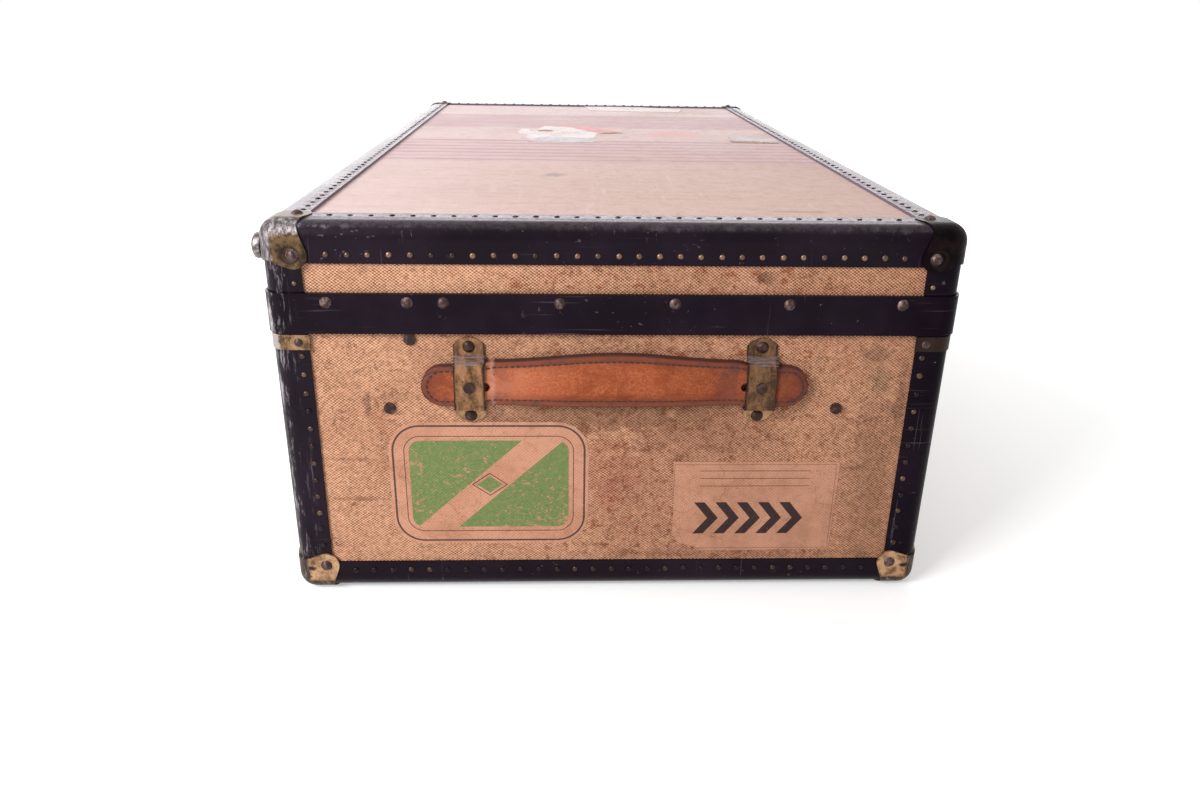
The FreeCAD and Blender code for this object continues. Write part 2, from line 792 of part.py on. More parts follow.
def make_hinges():
    """Three butt hinges: outer knuckles and pin on the case leaf, middle knuckle on the lid leaf."""
    half = leaf_width / 2
    half_lid = lid_knuckle_length / 2
    case_face = -canvas_half_width
    band_face = -trunk_width / 2
    leaf_top = hinge_z - leaf_web_drop
    case_leaves = []
    lid_leaves = []
    pins = []
    for y in hinge_places():
        leaf_low = leaf_top - case_leaf_height
        plate = slab(
            vec(case_face - leaf_thickness, y - half, leaf_low),
            vec(case_face, y + half, leaf_top),
        )
        web = [
            vec(case_face, y - half, leaf_top),
            vec(case_face - leaf_thickness, y - half, leaf_top),
            vec(hinge_x - leaf_thickness / 2, y - half, hinge_z),
            vec(hinge_x + leaf_thickness / 2, y - half, hinge_z),
        ]
        leaf = plate.fuse(prism(web, Y_AXIS * leaf_width))
        leaf = leaf.fuse(knuckle(hinge_x, hinge_z, knuckle_radius, y - half, y + half))
        room = half_lid + knuckle_gap
        leaf = leaf.cut(
            slab(
                vec(hinge_x - overrun, y - room, leaf_top),
                vec(hinge_x + overrun, y + room, hinge_z + overrun),
            )
        )
        leaf = leaf.cut(knuckle(hinge_x, hinge_z, hinge_pin_radius, y - half - overrun, y + half + overrun))
        case_leaves.append(leaf.removeSplitter())
        flap = slab(
            vec(band_face - leaf_thickness, y - half, band_bottom),
            vec(band_face, y + half, band_top - lid_leaf_inset),
        )
        neck = slab(
            vec(band_face - leaf_thickness, y - half_lid, hinge_z), vec(band_face, y + half_lid, band_bottom)
        )
        flap = flap.fuse([neck, knuckle(hinge_x, hinge_z, knuckle_radius, y - half_lid, y + half_lid)])
        bore = hinge_pin_radius + pin_fit
        flap = flap.cut(knuckle(hinge_x, hinge_z, bore, y - half, y + half))
        lid_leaves.append(flap.removeSplitter())
        pins.append(knuckle(hinge_x, hinge_z, hinge_pin_radius, y - half, y + half))
    save("hinge_case_leaves", case_leaves)
    save("hinge_lid_leaves", lid_leaves)
    save("hinge_pins", pins)


def stay_points():
    """Closed places in x and z of case pivot, elbow and lid pivot: a rhombus on the hinge axis."""
    spread = math.radians(stay_spread)
    along = stay_arm_length * math.cos(spread)
    across = stay_arm_length * math.sin(spread)
    case_pivot = (hinge_x + along, hinge_z - across)
    lid_pivot = (hinge_x + along, hinge_z + across)
    elbow = (hinge_x + 2 * along, hinge_z)
    return case_pivot, elbow, lid_pivot


def stay_arm(start, end, y, start_bore, end_bore):
    """A flat arm with round ends, from one pivot to the other, its near face at y."""
    run = vec(end[0] - start[0], 0, end[1] - start[1])
    side = run.cross(Y_AXIS).normalize() * (stay_arm_width / 2)
    a = vec(start[0], y, start[1])
    b = vec(end[0], y, end[1])
    beyond_a = a - vec(run.x, 0, run.z).normalize() * (stay_arm_width / 2)
    beyond_b = b + vec(run.x, 0, run.z).normalize() * (stay_arm_width / 2)
    edges = [
        Part.makeLine(a + side, b + side),
        Part.Arc(b + side, beyond_b, b - side).toShape(),
        Part.makeLine(b - side, a - side),
        Part.Arc(a - side, beyond_a, a + side).toShape(),
    ]
    arm = Part.Face(Part.Wire(edges)).extrude(Y_AXIS * stay_arm_sheet)
    for (x, z), bore in ((start, start_bore), (end, end_bore)):
        arm = arm.cut(knuckle(x, z, bore, y - overrun, y + overrun))
    return arm


def stay_plate(point, wall, stud_end):
    """A plate screwed to the inside of an end, with the stud that an arm turns on and the stud's head."""
    x, z = point
    half_x = stay_plate_width / 2
    half_z = stay_plate_height / 2
    front = wall + stay_plate_sheet
    plate = rounded_plate(
        vec(x - half_x, wall, z - half_z), vec(x + half_x, front, z + half_z), half_z / 2, Y_AXIS
    )
    stud = knuckle(x, z, stay_pin_radius, front, stud_end)
    head = knuckle(x, z, stay_head_radius, stud_end, stud_end + stay_head_rise)
    return plate.fuse([stud, head])


def make_stays():
    """A folding stay in each end: the lower arm turns on the case, the upper one on the lid's loose pivot."""
    case_pivot, elbow, lid_pivot = stay_points()
    wall = lining_thickness - inner_half_length
    lower_y = wall + stay_plate_sheet + stay_gap
    upper_y = lower_y + stay_arm_sheet + stay_head_rise + 2 * stay_gap
    lower_front = lower_y + stay_arm_sheet + stay_gap
    upper_front = upper_y + stay_arm_sheet + stay_gap
    fit = stay_pin_radius + stay_pin_fit
    loose = stay_pin_radius + stay_loose_fit
    case_plate = stay_plate(case_pivot, wall, lower_front)
    lid_plate = stay_plate(lid_pivot, wall, upper_front)
    lower = stay_arm(case_pivot, elbow, lower_y, fit, stay_pin_radius)
    upper = stay_arm(elbow, lid_pivot, upper_y, fit, loose)
    x, z = elbow
    pin = knuckle(x, z, stay_pin_radius, lower_y, upper_front)
    pin = pin.fuse(knuckle(x, z, stay_head_radius, upper_front, upper_front + stay_head_rise))
    save("stay_case_plates", [case_plate, mirrored(case_plate, Y_AXIS)])
    save("stay_lid_plates", [lid_plate, mirrored(lid_plate, Y_AXIS)])
    for end, place in (("near", lambda s: s), ("far", lambda s: mirrored(s, Y_AXIS))):
        save(end + "_stay_lower_arm", [place(lower)])
        save(end + "_stay_upper_arm", [place(upper)])
        save(end + "_stay_elbow_pin", [place(pin)])


def hasp_plate(y):
    """The plate on the band with two knuckles, between which the hasp's own knuckle turns."""
    half = hasp_plate_width / 2
    face = trunk_width / 2
    plate = rounded_plate(
        vec(face, y - half, hasp_axis_height - hasp_knuckle_radius),
        vec(face + hasp_plate_sheet, y + half, hasp_plate_top),
        hasp_knuckle_radius,
        X_AXIS,
    )
    barrel_half = hasp_width / 2
    plate = plate.fuse(
        knuckle(hasp_axis_x, hasp_axis_height, hasp_knuckle_radius, y - barrel_half, y + barrel_half)
    )
    room = hasp_knuckle_length / 2 + knuckle_gap
    relief = hasp_knuckle_radius + hasp_back_room
    plate = plate.cut(
        slab(
            vec(face - overrun, y - room, hasp_axis_height - overrun),
            vec(face + overrun, y + room, hasp_axis_height + relief),
        )
    )
    return plate.cut(
        knuckle(hasp_axis_x, hasp_axis_height, hasp_pin_radius, y - half - overrun, y + half + overrun)
    )


def hasp_blade(y, drop):
    """A hanging hasp: a knuckle, a flat blade with a rounded outline and a lip turned out for the finger."""
    half = hasp_width / 2
    lip_z = hasp_axis_height - drop
    centre_x = hasp_front_x + lip_radius
    outer = lip_radius + hasp_sheet
    diagonal = math.sqrt(1 / 2)

    def at(x, z):
        return vec(x, y - half, z)

    edges = [
        Part.makeLine(at(hasp_back_x, hasp_axis_height), at(hasp_back_x, lip_z)),
        Part.Arc(
            at(hasp_back_x, lip_z),
            at(centre_x - outer * diagonal, lip_z - outer * diagonal),
            at(centre_x, lip_z - outer),
        ).toShape(),
        Part.makeLine(at(centre_x, lip_z - outer), at(centre_x, lip_z - lip_radius)),
        Part.Arc(
            at(centre_x, lip_z - lip_radius),
            at(centre_x - lip_radius * diagonal, lip_z - lip_radius * diagonal),
            at(hasp_front_x, lip_z),
        ).toShape(),
        Part.makeLine(at(hasp_front_x, lip_z), at(hasp_front_x, hasp_axis_height)),
        Part.makeLine(at(hasp_front_x, hasp_axis_height), at(hasp_back_x, hasp_axis_height)),
    ]
    blade = Part.Face(Part.Wire(edges)).extrude(Y_AXIS * hasp_width)
    outline = rounded_plate(
        vec(hasp_back_x - overrun, y - half, lip_z - outer),
        vec(centre_x + overrun, y + half, hasp_axis_height + overrun),
        hasp_corner_radius,
        X_AXIS,
    )
    blade = blade.common(outline)
    knuckle_half = hasp_knuckle_length / 2
    room = hasp_knuckle_radius + knuckle_gap
    for low, high in ((y - half, y - knuckle_half), (y + knuckle_half, y + half)):
        blade = blade.cut(
            slab(
                vec(hasp_back_x - overrun, low, hasp_axis_height - room),
                vec(hasp_front_x + overrun, high, hasp_axis_height + overrun),
            )
        )
    blade = blade.fuse(
        knuckle(hasp_axis_x, hasp_axis_height, hasp_knuckle_radius, y - knuckle_half, y + knuckle_half)
    )
    bore = hasp_pin_radius + pin_fit
    return blade.cut(knuckle(hasp_axis_x, hasp_axis_height, bore, y - half, y + half)).removeSplitter()


def make_clasps():
    """Clasps whose hole drops over a domed stud, with the stud's boss and plate on the case."""
    near_y, _, far_y = hasp_places()
    hole = stud_radius + stud_clearance
    catches = []
    for end, y in (("near", near_y), ("far", far_y)):
        blade = hasp_blade(y, clasp_drop)
        drill = Part.makeCylinder(hole, 2 * overrun, vec(hasp_back_x - overrun, y, catch_place), X_AXIS)
        save(end + "_clasp", [blade.cut(drill)])
        half_y = catch_width / 2
        half_z = catch_height / 2
        plate = rounded_plate(
            vec(canvas_half_width, y - half_y, catch_place - half_z - catch_sheet),
            vec(canvas_half_width + catch_sheet, y + half_y, catch_place + half_z - catch_sheet),
            catch_corner_radius,
            X_AXIS,
        )
        foot = canvas_half_width + catch_sheet
        boss_top = hasp_back_x - boss_clearance
        boss_base = vec(foot, y, catch_place)
        boss = Part.makeCone(boss_foot_radius, boss_top_radius, boss_top - foot, boss_base, X_AXIS)
        neck_end = hasp_front_x
        stud = rivet(
            vec(neck_end, y, catch_place), X_AXIS, stud_radius, stud_rise, stud_radius / 2, hasp_sheet
        )
        neck = Part.makeCylinder(stud_radius, neck_end - boss_top, vec(boss_top, y, catch_place), X_AXIS)
        catches.append(plate.fuse([boss, neck, stud]).removeSplitter())
    save("clasp_catches", catches)


def make_hasp_plates():
    half = hasp_width / 2
    save("hasp_plates", [hasp_plate(y) for y in hasp_places()])
    save(
        "hasp_pins",
        [knuckle(hasp_axis_x, hasp_axis_height, hasp_pin_radius, y - half, y + half) for y in hasp_places()],
    )


def bolt_levels():
    """The bolt's back and front in x: the staple's inner wall lies behind it."""
    back = canvas_half_width + staple_floor_room + staple_wall + bolt_clearance
    return back, back + bolt_sheet


def make_lock():
    """The lock: a pressed case with a notch open at the top, the bolt, the key plug and the hasp."""
    half = lock_width / 2
    inner_half = half - lock_flange
    face = canvas_half_width
    front = hasp_back_x - lock_front_room
    back_wall = front - lock_sheet
    flange = rounded_plate(
        vec(face, -half, lock_bottom), vec(face + lock_sheet, half, lock_top), lock_corner_radius, X_AXIS
    )
    box_low = lock_bottom + lock_sheet
    box_high = lock_top - lock_sheet
    box = rounded_plate(
        vec(face, -inner_half, box_low), vec(front, inner_half, box_high), lock_corner_radius / 2, X_AXIS
    )
    cavity = slab(
        vec(face - overrun, -inner_half + lock_sheet, box_low + lock_sheet),
        vec(back_wall, inner_half - lock_sheet, box_high - lock_sheet),
    )
    notch_half = staple_width / 2 + notch_clearance
    notch_low = staple_height - staple_length / 2 - notch_drop
    notch = slab(
        vec(face - overrun, -notch_half, notch_low),
        vec(front + overrun, notch_half, lock_top + overrun),
    )
    bore = Part.makeCylinder(plug_radius + pin_fit, 2 * overrun, vec(front - overrun, 0, plug_height), X_AXIS)
    save("lock_case", [flange.fuse(box).cut(cavity).cut(notch).cut(bore).removeSplitter()])

    # The crank pin starts above the plug on its -Y side and sweeps a quarter turn over to +Y
    crank_y = -bolt_throw / 2
    crank_z = plug_height + bolt_throw / 2
    bolt_back, bolt_front = bolt_levels()
    plug_back = back_wall - plug_flange_sheet
    plug_length = front + plug_rise - back_wall
    plug = Part.makeCylinder(plug_radius, plug_length, vec(back_wall, 0, plug_height), X_AXIS)
    rim = Part.makeCylinder(plug_flange_radius, plug_flange_sheet, vec(plug_back, 0, plug_height), X_AXIS)
    pin = Part.makeCylinder(crank_pin_radius, plug_back - bolt_back, vec(bolt_back, crank_y, crank_z), X_AXIS)
    key_slot = slab(
        vec(front + plug_rise - key_slot_depth, -key_slot_width / 2, plug_height - key_slot_length / 2),
        vec(front + plug_rise + overrun, key_slot_width / 2, plug_height + key_slot_length / 2),
    )
    save("lock_key_plug", [plug.fuse([rim, pin]).cut(key_slot).removeSplitter()])

    # The bolt lies to -Y of the staple and hangs a slotted tail down to the crank pin
    bolt_end = -staple_width / 2 - bolt_clearance
    bolt_start = bolt_end - bolt_throw - bolt_tail_width
    tail_low = crank_z - crank_radius
    bar = slab(
        vec(bolt_back, bolt_start, staple_height - bolt_height / 2),
        vec(bolt_front, bolt_end, staple_height + bolt_height / 2),
    )
    tail = slab(
        vec(bolt_back, crank_y - bolt_tail_width / 2, tail_low),
        vec(bolt_front, crank_y + bolt_tail_width / 2, notch_low - bolt_clearance),
    )
    foot_high = notch_low - bolt_clearance
    foot = slab(
        vec(bolt_back, bolt_start, foot_high - bolt_height),
        vec(bolt_front, crank_y, foot_high),
    )
    riser = slab(
        vec(bolt_back, bolt_start, foot_high - bolt_height),
        vec(bolt_front, bolt_end - bolt_throw, staple_height + bolt_height / 2),
    )
    slot_half = crank_pin_radius + bolt_clearance
    slot = slab(
        vec(bolt_back - overrun, crank_y - slot_half, crank_z - slot_half),
        vec(bolt_front + overrun, crank_y + slot_half, crank_z + crank_radius),
    )
    save("lock_bolt", [bar.fuse([tail, foot, riser]).cut(slot).removeSplitter()])

    staple_low = staple_height - staple_length / 2
    staple_high = staple_height + staple_length / 2
    staple = slab(
        vec(face + staple_floor_room, -staple_width / 2, staple_low),
        vec(hasp_axis_x, staple_width / 2, staple_high),
    )
    eye = slab(
        vec(bolt_back - bolt_clearance, -overrun, staple_height - bolt_height / 2 - bolt_clearance),
        vec(bolt_front + bolt_clearance, overrun, staple_height + bolt_height / 2 + bolt_clearance),
    )
    save("lock_hasp", [hasp_blade(0, lock_hasp_drop).fuse(staple.cut(eye)).removeSplitter()])


def main():
    os.makedirs("parts", exist_ok=True)
    make_panels()
    make_skins()
    make_bindings()
    make_caps()
    make_band()
    make_clips()
    make_clinch_rivets()
    make_brackets()
    make_straps()
    make_hinges()
    make_stays()
    make_hasp_plates()
    make_clasps()
    make_lock()


main()
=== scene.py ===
import math
import random

import bpy
from mathutils import Matrix, Vector


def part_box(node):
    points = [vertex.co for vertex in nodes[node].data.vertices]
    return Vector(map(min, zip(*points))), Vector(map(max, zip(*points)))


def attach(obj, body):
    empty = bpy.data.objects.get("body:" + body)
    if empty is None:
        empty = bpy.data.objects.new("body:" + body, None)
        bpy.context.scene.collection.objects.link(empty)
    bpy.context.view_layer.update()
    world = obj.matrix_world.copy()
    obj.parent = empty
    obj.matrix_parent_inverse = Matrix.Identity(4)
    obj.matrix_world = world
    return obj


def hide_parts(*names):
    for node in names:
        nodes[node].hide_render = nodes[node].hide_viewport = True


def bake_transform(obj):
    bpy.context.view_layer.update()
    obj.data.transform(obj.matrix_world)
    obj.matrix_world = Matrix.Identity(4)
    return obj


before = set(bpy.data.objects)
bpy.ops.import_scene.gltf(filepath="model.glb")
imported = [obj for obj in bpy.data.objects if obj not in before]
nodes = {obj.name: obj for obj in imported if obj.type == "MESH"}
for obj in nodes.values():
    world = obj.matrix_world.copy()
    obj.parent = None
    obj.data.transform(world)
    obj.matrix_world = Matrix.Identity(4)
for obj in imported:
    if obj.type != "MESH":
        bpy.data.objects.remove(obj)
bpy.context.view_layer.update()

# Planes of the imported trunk, in metres
binding_low, binding_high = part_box("bottom_bindings")
canvas_low, canvas_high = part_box("case_canvas")
band_low, band_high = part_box("lid_band")
CENTRE_X = (binding_low.x + binding_high.x) / 2
HALF_X = binding_high.x - CENTRE_X
HALF_Y = binding_high.y
LOW_Z = binding_low.z
TOP_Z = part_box("lid_top_bindings")[1].z
LID_FACE_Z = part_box("lid_canvas")[1].z
CANVAS_HALF_Y = canvas_high.y
BRACKET_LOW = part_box("near_handle_brackets")[0].z
BRACKET_X = 0.1145
EDGE_RADIUS = 0.013
PARTING_Z = 0.248

# Directions in the trunk's frame
UP = (0, 0, 1)
DOWN = (0, 0, -1)
NEAR = (0, -1, 0)
TO_HINGES = (-1, 0, 0)
TO_LOCK = (1, 0, 0)


def smooth(share):
    share = min(max(share, 0.0), 1.0)
    return share * share * (3 - 2 * share)


def spread(first, last, pitch):
    """Even places from the first to the last, about a pitch apart."""
    count = round((last - first) / pitch)
    return [first + (last - first) * index / count for index in range(count + 1)]


class Field:
    """A value or colour that varies over a surface. Sums and products of fields are nodes too."""

    def __init__(self, graph, socket):
        self.graph = graph
        self.socket = socket

    def math(self, operation, *others):
        return self.graph.math(operation, self, *others)

    def __add__(self, other):
        return self.math("ADD", other)

    def __sub__(self, other):
        return self.math("SUBTRACT", other)

    def __rsub__(self, other):
        return self.graph.math("SUBTRACT", other, self)

    def __mul__(self, other):
        return self.math("MULTIPLY", other)

    def __truediv__(self, other):
        return self.math("DIVIDE", other)

    def __abs__(self):
        return self.math("ABSOLUTE")

    __radd__ = __add__
    __rmul__ = __mul__

    def most(self, other):
        return self.math("MAXIMUM", other)

    def least(self, other):
        return self.math("MINIMUM", other)

    def sine(self):
        return self.math("SINE")

    def over(self, level):
        """1 above a level and 0 below it."""
        return self.math("GREATER_THAN", level)

    def ease(self, low, high, start=0.0, end=1.0):
        """A smooth step from one level to the other."""
        values = enumerate((self, low, high, start, end))
        return self.graph.field("MapRange", values, interpolation_type="SMOOTHSTEP")

    def within(self, low, high, soft):
        """1 between two levels, falling to 0 over a soft edge."""
        return self.ease(low - soft, low + soft) * self.ease(high - soft, high + soft, 1.0, 0.0)

    def pick(self, first, second):
        """The first value where this field is 0, and the second where it is 1."""
        return self.graph.field("Mix", {0: self, 2: first, 3: second}, data_type="FLOAT")

    def tint(self, first, second):
        """The first colour where this field is 0, and the second where it is 1."""
        return self.graph.field("Mix", {0: self, 6: first, 7: second}, 2, data_type="RGBA")

    def under(self, *coats):
        """This colour under coats, each with its cover and its colour."""
        colour = self
        for cover, coat in coats:
            colour = cover.tint(colour, coat)
        return colour

    def dim(self, share):
        """This colour scaled by a share."""
        return self.graph.field("VectorMath", {0: self, "Scale": share}, operation="SCALE")


def span(u, v):
    """Length of the hypotenuse of two fields."""
    return (u * u + v * v).math("SQRT")


class Graph:
    """A node tree, with short names for the nodes that it is built from."""

    def __init__(self, tree):
        self.tree = tree

    def feed(self, socket, value):
        if isinstance(value, Field):
            self.tree.links.new(value.socket, socket)
        elif socket.type == "RGBA":
            socket.default_value = (*value, 1.0)
        else:
            socket.default_value = value

    def node(self, kind, inputs=(), **settings):
        """A new node, with its settings and then its inputs by number or name."""
        node = self.tree.nodes.new("ShaderNode" + kind)
        for key, value in settings.items():
            setattr(node, key, value)
        for key, value in dict(inputs).items():
            self.feed(node.inputs[key], value)
        return node

    def field(self, kind, inputs=(), output=0, **settings):
        return Field(self, self.node(kind, inputs, **settings).outputs[output])

    def math(self, operation, *values):
        return self.field("Math", enumerate(values), operation=operation)

    def split(self, vector):
        return [Field(self, part) for part in self.node("SeparateXYZ", {0: vector}).outputs]

    def seen(self):
        """1 for what the camera sees, straight or by way of gloss or glass."""
        rays = self.node("LightPath").outputs
        kinds = ("Camera", "Glossy", "Transmission")
        camera, glossy, clear = (Field(self, rays["Is " + kind + " Ray"]) for kind in kinds)
        return camera.most(glossy).most(clear)


class Look(Graph):
    """A procedural material."""

    def __init__(self, name, sockets, rest=False):
        self.material = bpy.data.materials.new(name)
        self.material.use_nodes = True
        super().__init__(self.material.node_tree)
        self.shader = self.tree.nodes["Principled BSDF"]
        for socket, value in sockets.items():
            self.shader.inputs[socket].default_value = value
        if rest:
            self.place = self.field("Attribute", output="Vector", attribute_name="rest")
        else:
            self.place = self.field("TexCoord", output="Object")

    def set(self, socket, value):
        self.feed(self.shader.inputs[socket], value)

    def noise(self, size, seed, detail=3.0, rough=0.55, stretch=(1, 1, 1)):
        """Noise with features of about this size in metres, shrunk along each axis by stretch."""
        scale = [share / size for share in stretch]
        shift = (seed, seed * 1.7, seed * 2.3)
        moved = self.field("VectorMath", {0: self.place, 1: scale, 2: shift}, operation="MULTIPLY_ADD")
        return self.field("TexNoise", {"Vector": moved, "Scale": 1.0, "Detail": detail, "Roughness": rough})

    def xyz(self):
        """The point's x from the trunk's middle, y and z."""
        x, y, z = self.split(self.place)
        return x - CENTRE_X, y, z

    def normal(self):
        return self.split(self.field("TexCoord", output="Normal"))

    def facing(self):
        """How far the surface faces each axis, without its sign."""
        return [abs(part) for part in self.normal()]

    def attribute(self, name):
        return self.field("Attribute", output="Fac", attribute_name=name)

    def done(self, colour, height, depth, rough=None):
        """Finishes the material. A height from 0 to 1 stands for this depth in metres."""
        self.set("Base Color", colour)
        if rough is not None:
            self.set("Roughness", rough)
        self.set("Normal", self.field("Bump", {"Strength": 1.0, "Distance": depth, "Height": height}))
        return self.material


# Share of a normal along an axis from which a face counts as turned to that axis
TURNED = 0.6

# A dusty lilac, used for dust and for a painted sheen and highlight on the fibre
DUST_AND_SHEEN = (0.30, 0.225, 0.285)
SOOT = (0.016, 0.010, 0.008)
SCUFF = (0.22, 0.18, 0.21)


def blot(u, v, centre, radii, ragged):
    """A soft blot round a point of a face, with a ragged outline from a noise."""
    far = span((u - centre[0]) / radii[0], (v - centre[1]) / radii[1])
    return (far + ragged).ease(0.35, 1.15, 1.0, 0.0)


def edge_share(look):
    """How far round the trunk's rounded edges a point lies: 0 on the flats, about 0.7 on the crown."""
    x, y, z = look.xyz()
    out_x = abs(x) - (HALF_X - EDGE_RADIUS)
    out_y = abs(y) - (HALF_Y - EDGE_RADIUS)
    out_z = (z - (TOP_Z - EDGE_RADIUS)).most(LOW_Z + EDGE_RADIUS - z)
    second = out_x.least(out_y).most(out_x.most(out_y).least(out_z))
    return second / EDGE_RADIUS


def scratches(look, size, stretch, level, seed):
    """Thin streaks: the crests of a noise drawn out along one axis."""
    streak = look.noise(size, seed, 2, stretch=stretch)
    where = look.noise(size * 2, seed + 5, 1)
    return streak.ease(level, level + 0.05) * where.ease(0.5, 0.62)


# Pitches of the canvas's threads, each half a repeat of the weave
WARP_PITCH = 0.00155
WEFT_PITCH = 0.00120

# Stains on the near end, and a painted shadow under the handle: centre and radii in x and z, cover, colour
STAINS_AND_SHADE = (
    # This first row is painted shade: a dark band just below the handle
    ((-0.03, 0.160), (0.12, 0.016), 0.6, (0.17, 0.075, 0.04)),
    ((0.06, 0.150), (0.09, 0.03), 0.3, (0.2, 0.08, 0.045)),
    ((0.085, 0.125), (0.06, 0.08), 0.2, (0.22, 0.085, 0.05)),
    ((0.02, 0.075), (0.05, 0.06), 0.25, (0.26, 0.07, 0.04)),
    ((-0.005, 0.11), (0.03, 0.04), 0.3, (0.3, 0.06, 0.04)),
    ((0.212, 0.190), (0.010, 0.018), 0.35, (0.10, 0.11, 0.045)),
    ((0.230, 0.172), (0.005, 0.035), 0.5, (0.12, 0.06, 0.035)),
    ((0.205, 0.216), (0.016, 0.008), 0.45, (0.13, 0.065, 0.04)),
    ((0.112, 0.277), (0.010, 0.006), 0.6, (0.13, 0.06, 0.035)),
    ((0.02, 0.262), (0.20, 0.004), 0.35, (0.2, 0.09, 0.05)),
    ((-0.196, 0.172), (0.0035, 0.013), 0.5, (0.13, 0.07, 0.045)),
    ((-0.205, 0.088), (0.024, 0.0025), 0.5, (0.22, 0.08, 0.05)),
    ((-0.212, 0.124), (0.020, 0.0022), 0.4, (0.22, 0.10, 0.055)),
    ((0.215, 0.10), (0.022, 0.10), 0.4, (0.2, 0.095, 0.05)),
    ((0.10, 0.034), (0.14, 0.005), 0.4, (0.2, 0.085, 0.05)),
)

# Marks on the lid's top: centre and radii in x and y, colour
LID_MARKS = (
    ((0.100, 0.082), (0.042, 0.044), (0.76, 0.36, 0.38)),
    ((-0.050, -0.258), (0.012, 0.016), (0.26, 0.20, 0.23)),
    ((0.15, -0.435), (0.03, 0.006), (0.36, 0.21, 0.15)),
)

# Painted bands across the lid's top, from y to y, and the pitch of the front one's stripes
FRONT_BAND = (-0.176, 0.012)
BACK_BAND = (0.145, 0.318)
BAND_EDGE = 0.003
STRIPE_PITCH = 0.0268


